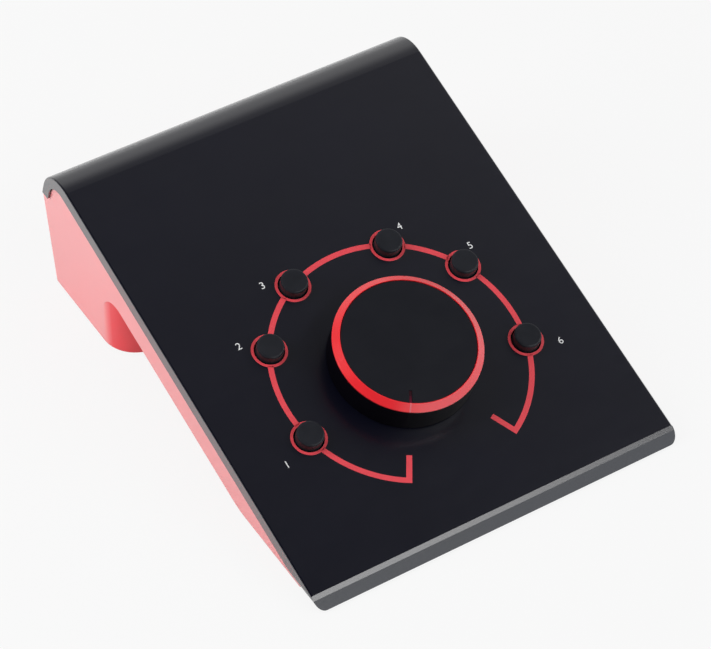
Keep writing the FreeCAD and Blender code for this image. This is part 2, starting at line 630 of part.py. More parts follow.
def make_lower_housing():
    body = new_body("lower_housing", TABLE)
    rim_line = "-Sizes.rim_depth"
    roll = "Sizes.roll_radius - Sizes.rim_depth - Sizes.seat_gap"
    neck = f"Derived.inner_centre + {roll}"
    step = "Sizes.panel_length - Sizes.roll_radius / 2"
    neck_foot = f"(({neck}) - (Derived.ledge_z - Sizes.lip_height) * Derived.sine) / Derived.cosine"
    front_top = ("Sizes.housing_front * Derived.slope + Sizes.lip_height"
                 " - Sizes.rim_depth / Derived.cosine")

    profile = new_sketch(body, "YZ_Plane", "profile")
    outline(profile, [
        ("Sizes.housing_front", "0"),
        ("Derived.land_y", "0"),
        ("Derived.sweep_y", "Derived.sweep_z", "Sizes.sweep_radius", 1),
        ("Derived.fillet_y - Sizes.arch_fillet * Derived.sine",
         "Derived.fillet_z + Sizes.arch_fillet * Derived.cosine"),
        ("Derived.side_y", "Derived.fillet_z", "Sizes.arch_fillet", -1),
        ("Derived.side_y", "0"),
        ("Derived.wall_foot_y", "0"),
        ("Derived.wall_top_y", "Derived.ledge_z"),
        (neck_foot, "Derived.ledge_z"),
        on_table(neck, "-Sizes.roll_radius"),
        (*on_table("Derived.inner_centre", f"{rim_line} - Sizes.seat_gap"), roll, 1),
        on_table(step, f"{rim_line} - Sizes.seat_gap"),
        on_table(step, rim_line),
        ("Sizes.housing_front", front_top),
    ])
    pad(profile, "2 * Derived.housing_half", symmetric=True)

    plan = new_sketch(body, "XY_Plane", "plan")
    inside = "Derived.side_y + Sizes.housing_wall"
    straight = "Derived.housing_half - Sizes.block_corner"
    outline(plan, [
        ("-Derived.housing_half", inside),
        ("-Derived.housing_half", "Derived.side_y"),
        (f"-({straight})", "Derived.block_front", "Sizes.block_corner", 1),
        (straight, "Derived.block_front"),
        ("Derived.housing_half", "Derived.side_y", "Sizes.block_corner", 1),
        ("Derived.housing_half", inside),
    ])
    ceiling = "Derived.block_front * Derived.slope + Sizes.lip_height - Sizes.tray_depth / Derived.cosine"
    pad(plan, f"{ceiling} + Sizes.floor_thickness")

    # open inside: the tray and the rear of the block in one cut, its rounded front in another
    inner_sweep = "Sizes.sweep_radius - Sizes.floor_thickness"
    back = "Derived.side_y + Sizes.housing_wall"
    floor_line = "(Sizes.tray_depth - Sizes.floor_thickness) / Derived.cosine"
    inner_foot = ("Derived.wall_foot_y - Sizes.housing_wall / cos(Sizes.rear_lean)"
                  " + Sizes.floor_thickness * Derived.wall_lean")
    shoulder = "Derived.ledge_z - Sizes.housing_wall"
    inner_neck = f"{neck} - Sizes.housing_wall"
    above = "2 * Sizes.rim_depth"
    cavity = new_sketch(body, "YZ_Plane", "cavity")
    outline(cavity, [
        ("Sizes.housing_front + Sizes.housing_wall", "Sizes.floor_thickness"),
        ("Derived.land_y", "Sizes.floor_thickness"),
        ("Derived.sweep_y - Sizes.floor_thickness * Derived.sine",
         "Derived.sweep_z + Sizes.floor_thickness * Derived.cosine", inner_sweep, 1),
        (back, f"({back}) * Derived.slope + Sizes.lip_height - {floor_line}"),
        (back, "Sizes.floor_thickness"),
        (inner_foot, "Sizes.floor_thickness"),
        (f"{inner_foot} + ({shoulder} - Sizes.floor_thickness) * Derived.wall_lean", shoulder),
        (f"(({inner_neck}) - ({shoulder} - Sizes.lip_height) * Derived.sine) / Derived.cosine",
         shoulder),
        on_table(inner_neck, above),
        on_table("Sizes.housing_front + Sizes.housing_wall", above),
    ])
    pocket(cavity, "2 * Derived.inner_half", symmetric=True)

    front = new_sketch(body, "XY_Plane", "front_cavity", raised("Sizes.floor_thickness"))
    inner_corner = "Sizes.block_corner - Sizes.housing_wall"
    outline(front, [
        ("-Derived.inner_half", f"{back} + Sizes.housing_wall"),
        ("-Derived.inner_half", "Derived.side_y"),
        (f"-({straight})", "Derived.block_front + Sizes.housing_wall", inner_corner, 1),
        (straight, "Derived.block_front + Sizes.housing_wall"),
        ("Derived.inner_half", "Derived.side_y", inner_corner, 1),
        ("Derived.inner_half", f"{back} + Sizes.housing_wall"),
    ])
    pocket(front, ceiling, reverse=True)

    wall_plane = (
        "placement(vector(0; Sizes.socket_height; -Derived.socket_y);"
        " rotation(vector(1; 0; 0); -Sizes.rear_lean))"
    )
    sockets = new_sketch(body, "XZ_Plane", "sockets", wall_plane)
    for across in jacks.values():
        circle(sockets, across, "0", "Sizes.jack_nose + Sizes.nose_gap")
    for down in phonos.values():
        circle(sockets, "Derived.phono_x", f"-({down})", "Sizes.shell_radius + Sizes.nose_gap")
    pocket(sockets, "3 * Sizes.housing_wall", symmetric=True)

    for end in ("front", "rear"):
        joint = f"Derived.{end}_joint"
        places = [place for place in case_screws if place[2] == end]

        def plane(depth):
            return (f"placement(vector(0; ({depth}) * Derived.sine;"
                    f" Sizes.lip_height - ({depth}) * Derived.cosine);"
                    " rotation(vector(1; 0; 0); Sizes.tilt))")
        posts = new_sketch(body, "XY_Plane", f"{end}_posts", plane(joint))
        heads = new_sketch(body, "XY_Plane", f"{end}_heads", plane(f"Derived.{end}_seat"))
        shanks = new_sketch(body, "XY_Plane", f"{end}_shanks", plane(joint))
        for across, along, _ in places:
            circle(posts, across, along, "Sizes.boss_radius")
            circle(heads, across, along, "Sizes.case_head + Sizes.nose_gap")
            circle(shanks, across, along, "Sizes.case_screw + Sizes.screw_gap")
        pad(posts, "Sizes.screw_seat + Sizes.seat_gap", reverse=True)
        pocket(heads, "4 * Sizes.case_head_height")
        pocket(shanks, "2 * Sizes.screw_seat + Sizes.screw_gap", symmetric=True)

    recesses = new_sketch(body, "XY_Plane", "recesses")
    for across, back_from in feet.values():
        circle(recesses, across, back_from, "Sizes.foot_radius + Sizes.socket_gap")
    pocket(recesses, "Sizes.foot_recess", reverse=True)

    foot = value_of("Derived.wall_foot_y")
    lean = value_of("Derived.wall_lean")
    names = side_edges(body, value_of("Derived.housing_half"),
                       lambda point: abs(point.y - foot - point.z * lean) < CLOSE)
    fillet(body, names, "Sizes.rear_corner")
    return body


def make_feet():
    for name, (across, along) in feet.items():
        pad_part = cylinder(f"{name}_top", "Sizes.foot_radius", "Sizes.foot_recess", across, along)
        sole = cone(f"{name}_sole", "Sizes.foot_radius - Sizes.foot_proud / 2",
                    "Sizes.foot_radius", "Sizes.foot_proud", across, along, "-Sizes.foot_proud")
        keep(name, joined(f"{name}_whole", [pad_part, sole]), TABLE)


def screw(name, place, head, shank, seat, grip, head_height):
    """Screw driven upwards: its head hangs below seat, its shank reaches grip above it."""
    lower = cylinder(f"{name}_head", head, head_height, *place, f"{seat} - {head_height}")
    upper = cylinder(f"{name}_shank", shank, grip, *place, seat)
    drive = hexagon(f"{name}_drive", f"{head} / 2", f"{head_height} / 2", *place,
                    f"{seat} - {head_height}")
    return drilled(f"{name}_whole", joined(f"{name}_blank", [lower, upper]), [drive])


def make_screws():
    pieces = []
    for index, (across, along, end) in enumerate(case_screws):
        seat = f"-Derived.{end}_seat"
        pieces.append(screw(f"case_screw_{index}", (across, along), "Sizes.case_head",
                            "Sizes.case_screw", seat, "Sizes.screw_seat + Sizes.case_screw_grip",
                            "Sizes.case_head_height"))
    keep("housing_screws", group("housing_screw_group", pieces), PANEL)
    pieces = []
    for index, place in enumerate(board_screws):
        seat = "Derived.board_top - Sizes.board_thickness"
        pieces.append(screw(f"board_screw_{index}", place, "Sizes.small_head",
                            "Sizes.small_screw", seat, "Sizes.board_thickness"
                            " + Sizes.case_screw_grip", "Sizes.small_head_height"))
    keep("main_board_screws", group("board_screw_group", pieces), PANEL)


# ---------------------------------------------------------------- volume control
def make_knob():
    body = new_body("knob_body", KNOB)
    section = new_sketch(body, "XZ_Plane", "section")
    inside = "Sizes.knob_radius - Sizes.knob_wall"
    roof = "Sizes.knob_height - Sizes.knob_roof"
    outline(section, [
        ("0", "Sizes.knob_height"),
        ("0", "Sizes.hub_bottom"),
        ("Sizes.hub_radius", "Sizes.hub_bottom"),
        ("Sizes.hub_radius", roof),
        (inside, roof),
        (inside, "Sizes.knob_lift"),
        ("Sizes.knob_radius", "Sizes.knob_lift"),
        ("Sizes.knob_radius - Sizes.knob_draft", "Sizes.knob_height"),
    ])
    revolve(section)
    ribs = new_sketch(body, "XY_Plane", "ribs", raised(roof))
    near, far = "Sizes.rib_width / 2", "Sizes.knob_radius - Sizes.knob_wall / 2"
    outline(ribs, [
        (near, near), (near, far), (f"-{near}", far), (f"-{near}", near),
        (f"-({far})", near), (f"-({far})", f"-{near}"), (f"-{near}", f"-{near}"),
        (f"-{near}", f"-({far})"), (near, f"-({far})"), (near, f"-{near}"),
        (far, f"-{near}"), (far, near),
    ])
    pad(ribs, "Sizes.rib_depth", reverse=True)
    bore = new_sketch(body, "XY_Plane", "bore", raised("Sizes.hub_bottom"))
    bore_radius = "Sizes.shaft_radius + Sizes.shaft_gap"
    flat = "Sizes.shaft_flat + Sizes.shaft_gap"
    reach = f"sqrt(({bore_radius}) * ({bore_radius}) - ({flat}) * ({flat}))"
    outline(bore, [
        (f"-{reach}", flat),
        ("0", f"-({bore_radius})", bore_radius, 1),
        (reach, flat, bore_radius, 1),
    ])
    pocket(bore, "Sizes.shaft_top - Sizes.hub_bottom + Sizes.shaft_gap", reverse=True)

    ring = new_body("knob_ring", KNOB)
    section = new_sketch(ring, "XZ_Plane", "section")
    crown = "Sizes.knob_height + Sizes.ring_top"
    outline(section, [
        ("Sizes.ring_inner", "Sizes.knob_height"),
        ("Sizes.ring_outer", "Sizes.knob_height"),
        ("Sizes.ring_outer", "Sizes.knob_height + Sizes.ring_skirt"),
        ("Sizes.ring_inner + Sizes.ring_crown", crown),
        ("Sizes.ring_inner", crown),
    ])
    revolve(section)
    tab_top = "Sizes.knob_height + Sizes.cap_height - Sizes.tab_sink"
    tab = new_sketch(ring, "XY_Plane", "tab", raised(tab_top))
    rectangle(tab, "Sizes.ring_inner - Sizes.tab_length", "-Sizes.tab_width / 2",
              "Sizes.ring_inner + Sizes.ring_crown", "Sizes.tab_width / 2")
    pad(tab, "Sizes.tab_height", reverse=True)

    cap = new_body("knob_cap", KNOB)
    section = new_sketch(cap, "XZ_Plane", "section")
    rim = "Sizes.ring_inner - Sizes.cap_gap"
    top = "Sizes.knob_height + Sizes.cap_height"
    outline(section, [
        ("0", "Sizes.knob_height"),
        (rim, "Sizes.knob_height"),
        (rim, f"{top} - Sizes.cap_edge"),
        (f"{rim} - Sizes.cap_edge", top),
        ("0", top),
    ])
    revolve(section)
    slot = new_sketch(cap, "XY_Plane", "slot", raised(top))
    rectangle(slot, "Sizes.ring_inner - Sizes.tab_length - Sizes.cap_gap",
              "-Sizes.tab_width / 2 - Sizes.cap_gap",
              "Sizes.ring_outer", "Sizes.tab_width / 2 + Sizes.cap_gap")
    pocket(slot, "Sizes.tab_sink + Sizes.tab_height + Sizes.cap_gap")

    shaft = cylinder("shaft_round", "Sizes.shaft_radius", "Sizes.shaft_top + Sizes.shaft_bottom",
                     up="-Sizes.shaft_bottom")
    flat_length = "Sizes.shaft_top - Sizes.hub_bottom"
    away = block("shaft_away", ("2 * Sizes.shaft_radius", "2 * Sizes.shaft_radius", flat_length),
                 "0", "Sizes.shaft_flat + Sizes.shaft_radius", "Sizes.hub_bottom")
    keep("pot_shaft", drilled("shaft_whole", shaft, [away]), KNOB)


def make_potentiometer():
    centre = ("0", "Sizes.knob_centre")
    under = "-Sizes.cover_wall"
    height = "Sizes.board_depth - Sizes.cover_wall"
    bore = "Sizes.shaft_radius + Sizes.shaft_gap"
    case = cylinder("pot_round", "Sizes.pot_radius", height, *centre, "Derived.board_top")
    wafer = block("pot_wafer", ("Sizes.wafer_width", "Sizes.wafer_reach", "Sizes.wafer_height"),
                  "0", "Sizes.knob_centre - Sizes.wafer_reach / 2", "Derived.board_top")
    well = cylinder("pot_well", bore, height, *centre,
                    "-Sizes.shaft_bottom - Sizes.seat_gap")
    keep("pot_case", drilled("pot_whole", joined("pot_blank", [case, wafer]), [well]), PANEL)

    tube = cylinder("bushing_tube", "Sizes.bush_radius", "Sizes.bush_top + Sizes.cover_wall",
                    *centre, under)
    hole = cylinder("bushing_hole", bore, "Sizes.bush_top + Sizes.cover_wall", *centre, under)
    keep("pot_bushing", drilled("bushing_whole", tube, [hole]), PANEL)

    disc = cylinder("pot_washer_disc", "Sizes.washer_radius", "Sizes.washer_height", *centre)
    opening = cylinder("pot_washer_hole", "Sizes.bush_radius + Sizes.bush_gap",
                       "Sizes.washer_height", *centre)
    keep("pot_washer", drilled("pot_washer_whole", disc, [opening]), PANEL)

    nut = hexagon("pot_nut_blank", "Sizes.nut_radius", "Sizes.nut_height", *centre,
                  "Sizes.washer_height")
    thread = cylinder("pot_nut_thread", "Sizes.bush_radius + Sizes.thread_gap",
                      "Sizes.nut_height", *centre, "Sizes.washer_height")
    keep("pot_nut", drilled("pot_nut_whole", nut, [thread]), PANEL)

    front = "Sizes.knob_centre - Sizes.wafer_reach"
    lugs = [
        block(f"pot_lug_{index + 1}", ("Sizes.lug_width", "Sizes.lug_length", "Sizes.lug_height"),
              f"{index} * Sizes.lug_pitch", f"{front} - Sizes.lug_length / 2",
              "Derived.board_top")
        for index in (-1, 0, 1)
    ]
    keep("pot_terminals", group("pot_lugs", lugs), PANEL)


# ---------------------------------------------------------------- push buttons
def make_buttons():
    top, bottom = "Sizes.button_proud", "-Sizes.button_skirt"
    tip = "Sizes.button_proud / 4"
    well = "Sizes.button_travel + Sizes.seat_gap"
    foot = f"Derived.board_top + Sizes.housing_wall - Sizes.button_travel + {well}"
    for name, (across, along) in button_places.items():
        place = f"{PANEL} * {shifted(across, along, '0')}"
        cap = new_body(f"button_{name}", place)
        section = new_sketch(cap, "XZ_Plane", "section")
        outline(section, [
            ("0", bottom),
            ("Sizes.button_radius", bottom),
            ("Sizes.button_radius", f"{top} - Sizes.button_round"),
            ("Sizes.button_radius - Sizes.button_round", top, "Sizes.button_round", 1),
            ("0", top),
        ])
        revolve(section)
        socket = new_sketch(cap, "XY_Plane", "socket", raised(bottom))
        half = "Sizes.plunger_side / 2 + Sizes.socket_gap"
        rectangle(socket, f"-({half})", f"-({half})", half, half)
        pocket(socket, f"{tip} + Sizes.button_skirt", reverse=True)

        plunger = block(f"plunger_{name}_blank", (
            "Sizes.plunger_side", "Sizes.plunger_side", f"{tip} - ({foot})"), up=foot)
        keep(f"plunger_{name}", plunger, place)

        case = block(f"switch_{name}_blank",
                     ("Sizes.switch_side", "Sizes.switch_side", "Sizes.switch_height"),
                     up="Derived.board_top")
        opening = "Sizes.plunger_side + 2 * Sizes.plunger_gap"
        hole = block(f"switch_{name}_hole", (opening, opening, "Sizes.switch_height"),
                     up=f"{foot} - ({well})")
        keep(f"switch_{name}", drilled(f"switch_{name}_whole", case, [hole]), place)


# ---------------------------------------------------------------- boards and ribbon
def make_boards():
    length = "Derived.board_rear - Derived.board_front"
    plate = block("main_plate", ("2 * Derived.board_half", length, "Sizes.board_thickness"), "0",
                  "(Derived.board_front + Derived.board_rear) / 2",
                  "Derived.board_top - Sizes.board_thickness")
    holes = [
        cylinder(f"main_hole_{index}", "Sizes.small_screw + Sizes.screw_gap",
                 "Sizes.board_thickness", *place, "Derived.board_top - Sizes.board_thickness")
        for index, place in enumerate(board_screws)
    ]
    keep("main_board", drilled("main_board_whole", plate, holes), PANEL)

    plate = block("jack_plate", ("2 * (Derived.inner_half - Sizes.jack_board_margin)",
                                 "Derived.jack_board_top + Derived.jack_board_foot",
                                 "Sizes.board_thickness"),
                  along="(Derived.jack_board_foot - Derived.jack_board_top) / 2",
                  up="Derived.jack_back - Sizes.board_thickness")
    keep("jack_board", plate, REAR)


def make_ribbon():
    size = ("Sizes.ribbon_width", "Sizes.ribbon_depth", "Sizes.ribbon_body")
    main_y = "Derived.header_rear - Sizes.ribbon_depth / 2"
    keep("ribbon_header_main", block("ribbon_main_block", size, "0", main_y,
                                     "Derived.board_top"), PANEL)
    size = ("Sizes.ribbon_width", "Sizes.ribbon_body", "Sizes.ribbon_depth")
    keep("ribbon_header_jack", block("ribbon_jack_block", size, "0", "-Derived.ribbon_row",
                                     "Derived.plug_face"), REAR)

    # the strip leaves one header up the slope and enters the other square to the rear wall
    start = on_table("Derived.header_rear", "Derived.board_top + Sizes.ribbon_body / 2")
    end = (
        "Derived.socket_y + Derived.plug_face * cos(Sizes.rear_lean)"
        " + Derived.ribbon_row * sin(Sizes.rear_lean)",
        "Sizes.socket_height - Derived.plug_face * sin(Sizes.rear_lean)"
        " + Derived.ribbon_row * cos(Sizes.rear_lean)",
    )
    half = "Sizes.ribbon_thickness / 2"
    body = new_body("ribbon_cable", TABLE)
    strip = new_sketch(body, "YZ_Plane", "strip")

    def beside(point, angle, side):
        """Point moved across a run that rises at this angle."""
        return (f"({point[0]}) - {side} * ({half}) * sin({angle})",
                f"({point[1]}) + {side} * ({half}) * cos({angle})")
    first_end = ("Derived.meet_y - Derived.strip_cut * Derived.cosine",
                 "Derived.meet_z - Derived.strip_cut * Derived.sine")
    second_start = ("Derived.meet_y + Derived.strip_cut * cos(Sizes.rear_lean)",
                    "Derived.meet_z - Derived.strip_cut * sin(Sizes.rear_lean)")
    up, down = "Sizes.tilt", "-Sizes.rear_lean"
    outline(strip, [
        beside(start, up, -1),
        beside(first_end, up, -1),
        (*beside(second_start, down, -1), f"Sizes.ribbon_bend - {half}", -1),
        beside(end, down, -1),
        beside(end, down, 1),
        beside(second_start, down, 1),
        (*beside(first_end, up, 1), f"Sizes.ribbon_bend + {half}", 1),
        beside(start, up, 1),
    ])
    pad(strip, "Sizes.ribbon_strip", symmetric=True)


# ---------------------------------------------------------------- rear sockets
def make_jacks():
    inner = "-Sizes.housing_wall"
    washers, nuts = [], []
    for name, across in jacks.items():
        case = block(f"{name}_case", ("Sizes.jack_width", "Sizes.jack_height",
                                      "Sizes.jack_length"), across, "0", "Derived.jack_back")
        nose = cylinder(f"{name}_nose", "Sizes.jack_nose",
                        "Sizes.jack_nose_length + Sizes.housing_wall", across, "0", inner)
        bore = cylinder(f"{name}_bore", "Sizes.jack_bore", "Sizes.jack_bore_depth", across, "0",
                        "Sizes.jack_nose_length - Sizes.jack_bore_depth")
        keep(name, drilled(f"{name}_whole", joined(f"{name}_blank", [case, nose]), [bore]), REAR)

        disc = cylinder(f"{name}_washer", "Sizes.jack_washer", "Sizes.jack_washer_height", across)
        ring_hole = cylinder(f"{name}_washer_hole", "Sizes.jack_nose + Sizes.thread_gap",
                             "Sizes.jack_washer_height", across)
        washers.append(drilled(f"{name}_washer_ring", disc, [ring_hole]))
        nut = hexagon(f"{name}_nut", "Sizes.jack_nut", "Sizes.jack_nut_height", across, "0",
                      "Sizes.jack_washer_height")
        nut_hole = cylinder(f"{name}_nut_hole", "Sizes.jack_nose + Sizes.thread_gap",
                            "Sizes.jack_nut_height", across, "0", "Sizes.jack_washer_height")
        nuts.append(drilled(f"{name}_nut_ring", nut, [nut_hole]))
    keep("jack_washers", group("jack_washer_group", washers), REAR)
    keep("jack_nuts", group("jack_nut_group", nuts), REAR)


def make_phonos():
    inner = "-Sizes.housing_wall"
    across = "Derived.phono_x"
    case = block("phono_box", ("Sizes.phono_width", "Sizes.phono_height", "Sizes.jack_length"),
                 across, "0", "Derived.jack_back")
    posts, contacts, shells = [], [], []
    shell_bore = "Sizes.shell_radius - Sizes.shell_wall"
    post_end = "Sizes.shell_length - Sizes.post_short"
    for name, down in phonos.items():
        posts.append(cylinder(f"phono_post_{name}", f"{shell_bore} - Sizes.post_gap",
                              f"{post_end} + Sizes.housing_wall", across, down, inner))
        contacts.append(cylinder(f"phono_contact_{name}", "Sizes.contact_radius",
                                 "Sizes.contact_depth", across, down,
                                 f"{post_end} - Sizes.contact_depth"))
        length = "Sizes.shell_length + Sizes.housing_wall"
        base = cylinder(f"phono_base_{name}", "Sizes.shell_radius - Sizes.shell_step",
                        "Sizes.housing_wall + Sizes.phono_bush_height", across, down, inner)
        tube = cylinder(f"phono_tube_{name}", "Sizes.shell_radius",
                        "Sizes.shell_length - Sizes.phono_bush_height", across, down,
                        "Sizes.phono_bush_height")
        hole = cylinder(f"phono_tube_hole_{name}", shell_bore, length, across, down, inner)
        shells.append(drilled(f"phono_shell_{name}", joined(f"phono_blank_{name}", [base, tube]),
                              [hole]))
        collar = cylinder(f"phono_collar_{name}", "Sizes.phono_bush",
                          "Sizes.phono_bush_height", across, down)
        clear = cylinder(f"phono_collar_hole_{name}",
                         "Sizes.shell_radius - Sizes.shell_step + Sizes.post_gap",
                         "Sizes.phono_bush_height", across, down)
        keep(f"phono_bush_{name}", drilled(f"phono_bush_{name}_whole", collar, [clear]), REAR)
    solid = joined("phono_blank", [case, *posts])
    keep("phono_case", drilled("phono_whole", solid, contacts), REAR)
    keep("phono_shells", group("phono_shell_group", shells), REAR)


make_top_cover()
make_lower_housing()
make_feet()
make_screws()
make_knob()
make_potentiometer()
make_buttons()
make_boards()
make_ribbon()
make_jacks()
make_phonos()
doc.recompute()

# ---------------------------------------------------------------- checks and output
for item in doc.Objects:
    if {"Invalid", "Error"} & set(item.State):
        raise RuntimeError(f"{item.Name} failed: {item.State}")
for name, node in nodes.items():
    if node.Shape.isNull() or not node.Shape.isValid() or not node.Shape.Solids:
        raise RuntimeError(f"{name} has no valid solid")

os.makedirs("parts", exist_ok=True)
for name, node in nodes.items():
    node.Shape.exportStep(os.path.join("parts", f"{name}.step"))
    box = node.Shape.BoundBox
    print(f"{name:24s} {len(node.Shape.Solids)} solids, {node.Shape.Volume:9.1f} mm3,"
          f" z {box.ZMin:.2f}..{box.ZMax:.2f}")
print(len(nodes), "nodes")
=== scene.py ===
"""Studio monitor controller: its finishes, its printed marks and the studio that it stands in.

The solid parts come packed from CAD and keep their shapes. This script paints them, prints
the volume scale and plain numbers on the panel, and sets up a plain white studio. Lengths
are in metres.
"""

import json
import math

import bmesh
import bpy
from mathutils import Matrix, Vector


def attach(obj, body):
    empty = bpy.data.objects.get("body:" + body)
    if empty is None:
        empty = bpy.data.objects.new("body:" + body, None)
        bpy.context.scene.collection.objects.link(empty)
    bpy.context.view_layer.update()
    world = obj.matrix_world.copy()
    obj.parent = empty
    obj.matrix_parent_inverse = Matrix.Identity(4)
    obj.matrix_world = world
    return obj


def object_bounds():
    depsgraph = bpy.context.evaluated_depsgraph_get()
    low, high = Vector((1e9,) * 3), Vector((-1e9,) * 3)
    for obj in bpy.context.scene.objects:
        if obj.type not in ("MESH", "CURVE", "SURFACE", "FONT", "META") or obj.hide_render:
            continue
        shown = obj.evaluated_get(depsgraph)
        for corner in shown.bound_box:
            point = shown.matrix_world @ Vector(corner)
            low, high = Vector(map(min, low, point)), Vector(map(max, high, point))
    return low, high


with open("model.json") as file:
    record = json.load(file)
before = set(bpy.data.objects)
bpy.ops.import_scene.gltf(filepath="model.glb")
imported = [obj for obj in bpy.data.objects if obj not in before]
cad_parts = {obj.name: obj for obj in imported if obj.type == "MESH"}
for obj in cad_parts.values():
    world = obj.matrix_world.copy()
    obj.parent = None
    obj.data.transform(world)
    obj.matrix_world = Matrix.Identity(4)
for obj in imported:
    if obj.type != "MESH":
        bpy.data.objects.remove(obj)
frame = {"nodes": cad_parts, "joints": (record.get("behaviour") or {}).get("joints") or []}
cad_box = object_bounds()

MM = 0.001


# ---------------------------------------------------------------- the panel's own axes
# The knob turns about an axis that stands square on the sloping panel.
knob_joint = next(joint for joint in frame["joints"] if joint["name"] == "volume_turn")
KNOB_FROM_FRONT = 59.8 * MM

panel_out = -Vector(knob_joint["axis"]).normalized()
panel_across = Vector((1, 0, 0))
panel_up = panel_out.cross(panel_across).normalized()
panel_front = Vector(knob_joint["pos_m"]) - KNOB_FROM_FRONT * panel_up


def on_panel(across, up, above=0.0):
    """A place on the panel, from the middle of its front edge."""
    return panel_front + across * panel_across + up * panel_up + above * panel_out


# ---------------------------------------------------------------- node helpers
def linear(red, green, blue):
    """A colour given as 0 to 255, turned into the shader's own numbers."""
    def straight(value):
        value /= 255
        return value / 12.92 if value <= 0.04045 else ((value + 0.055) / 1.055) ** 2.4
    return (straight(red), straight(green), straight(blue), 1.0)


def add(tree, kind, inputs=None, **settings):
    """A node with its settings, and with its inputs set to a value or linked to an output."""
    made = tree.nodes.new(kind)
    made.location.x = 200 * len(tree.nodes)
    for name, value in settings.items():
        setattr(made, name, value)
    for name, value in (inputs or {}).items():
        if isinstance(value, bpy.types.NodeSocket):
            tree.links.new(value, made.inputs[name])
        else:
            made.inputs[name].default_value = value
    return made


def maths(tree, operation, first, second=0.5, clamp=False):
    return add(tree, "ShaderNodeMath", {0: first, 1: second},
               operation=operation, use_clamp=clamp).outputs[0]


def mix_colour(tree, share, first, second, blend="MIX"):
    node = add(tree, "ShaderNodeMix", data_type="RGBA", blend_type=blend, clamp_factor=True)
    for socket, value in ((node.inputs[0], share), (node.inputs[6], first),
                          (node.inputs[7], second)):
        if isinstance(value, bpy.types.NodeSocket):
            tree.links.new(value, socket)
        else:
            socket.default_value = value
    return node.outputs[2]


def noise(tree, scale, detail=3.0, roughness=0.5, where=None):
    """Noise in the piece's own metres: a scale of 1000 has features of about a millimetre."""
    where = where or add(tree, "ShaderNodeTexCoord").outputs["Object"]
    return add(tree, "ShaderNodeTexNoise", {"Vector": where, "Scale": scale,
                                            "Detail": detail, "Roughness": roughness}).outputs[0]


def remap(tree, value, low, high, new_low=0.0, new_high=1.0):
    return add(tree, "ShaderNodeMapRange",
               {"Value": value, "From Min": low, "From Max": high,
                "To Min": new_low, "To Max": new_high}).outputs[0]


def new_group(name, inputs, outputs):
    """An empty effect with named sockets: its tree, its input values and its output sockets."""
    tree = bpy.data.node_groups.new(name, "ShaderNodeTree")
    for label, value in inputs.items():
        kind = "NodeSocketFloat"
        if isinstance(value, tuple):
            kind = "NodeSocketColor" if len(value) == 4 else "NodeSocketVector"
        tree.interface.new_socket(label, in_out="INPUT", socket_type=kind).default_value = value
    for label, kind in outputs.items():
        tree.interface.new_socket(label, in_out="OUTPUT", socket_type=f"NodeSocket{kind}")
    return (tree, tree.nodes.new("NodeGroupInput").outputs,
            tree.nodes.new("NodeGroupOutput").inputs)


def use(tree, group, **values):
    """An effect placed in a material. A socket's name takes underscores for its spaces."""
    made = add(tree, "ShaderNodeGroup", node_tree=group)
    for name, value in values.items():
        socket = made.inputs[name.replace("_", " ")]
        if isinstance(value, bpy.types.NodeSocket):
            tree.links.new(value, socket)
        else:
            socket.default_value = value
    return made.outputs


# ---------------------------------------------------------------- effects that finishes share
def make_edge_wear():
    """Where handling has rubbed the outer edges, broken up by noise."""
    tree, given, result = new_group(
        "edge_wear", {"Reach": 0.0006, "Patch Scale": 400.0, "Amount": 0.5}, {"Mask": "Float"})
    rounded = add(tree, "ShaderNodeBevel", {"Radius": given["Reach"]}, samples=6)
    flat = add(tree, "ShaderNodeNewGeometry").outputs["Normal"]
    facing = add(tree, "ShaderNodeVectorMath", {0: rounded.outputs[0], 1: flat},
                 operation="DOT_PRODUCT").outputs["Value"]
    edge = remap(tree, facing, low=0.998, high=0.85)
    blotches = noise(tree, given["Patch Scale"], detail=5.0, roughness=0.65)
    patches = remap(tree, blotches, low=0.42, high=0.62)
    worn = maths(tree, "MULTIPLY", edge, patches)
    tree.links.new(maths(tree, "MULTIPLY", worn, given["Amount"], clamp=True), result["Mask"])
    return tree


def make_fine_grain():
    """The tiny hills of sprayed paint or of a textured mould."""
    tree, given, result = new_group(
        "fine_grain", {"Scale": 3000.0, "Waviness": 0.3}, {"Height": "Float"})
    grain = noise(tree, given["Scale"], detail=2.0, roughness=0.6)
    broad = noise(tree, maths(tree, "MULTIPLY", given["Scale"], 0.08), detail=1.0)
    waves = maths(tree, "MULTIPLY", broad, given["Waviness"])
    tree.links.new(maths(tree, "ADD", grain, waves), result["Height"])
    return tree


def make_tone_drift():
    """Slow changes of tone across a surface."""
    tree, given, result = new_group(
        "tone_drift", {"Colour": (0.5, 0.5, 0.5, 1.0), "Scale": 40.0, "Amount": 0.1},
        {"Colour": "Color"})
    drifting = noise(tree, given["Scale"], detail=4.0, roughness=0.6)
    cloud = remap(tree, drifting, low=0.3, high=0.7, new_low=-1.0, new_high=1.0)
    level = maths(tree, "ADD", maths(tree, "MULTIPLY", cloud, given["Amount"]), 1.0)
    shade = add(tree, "ShaderNodeHueSaturation", {"Value": level, "Color": given["Colour"]})
    tree.links.new(shade.outputs[0], result["Colour"])
    return tree


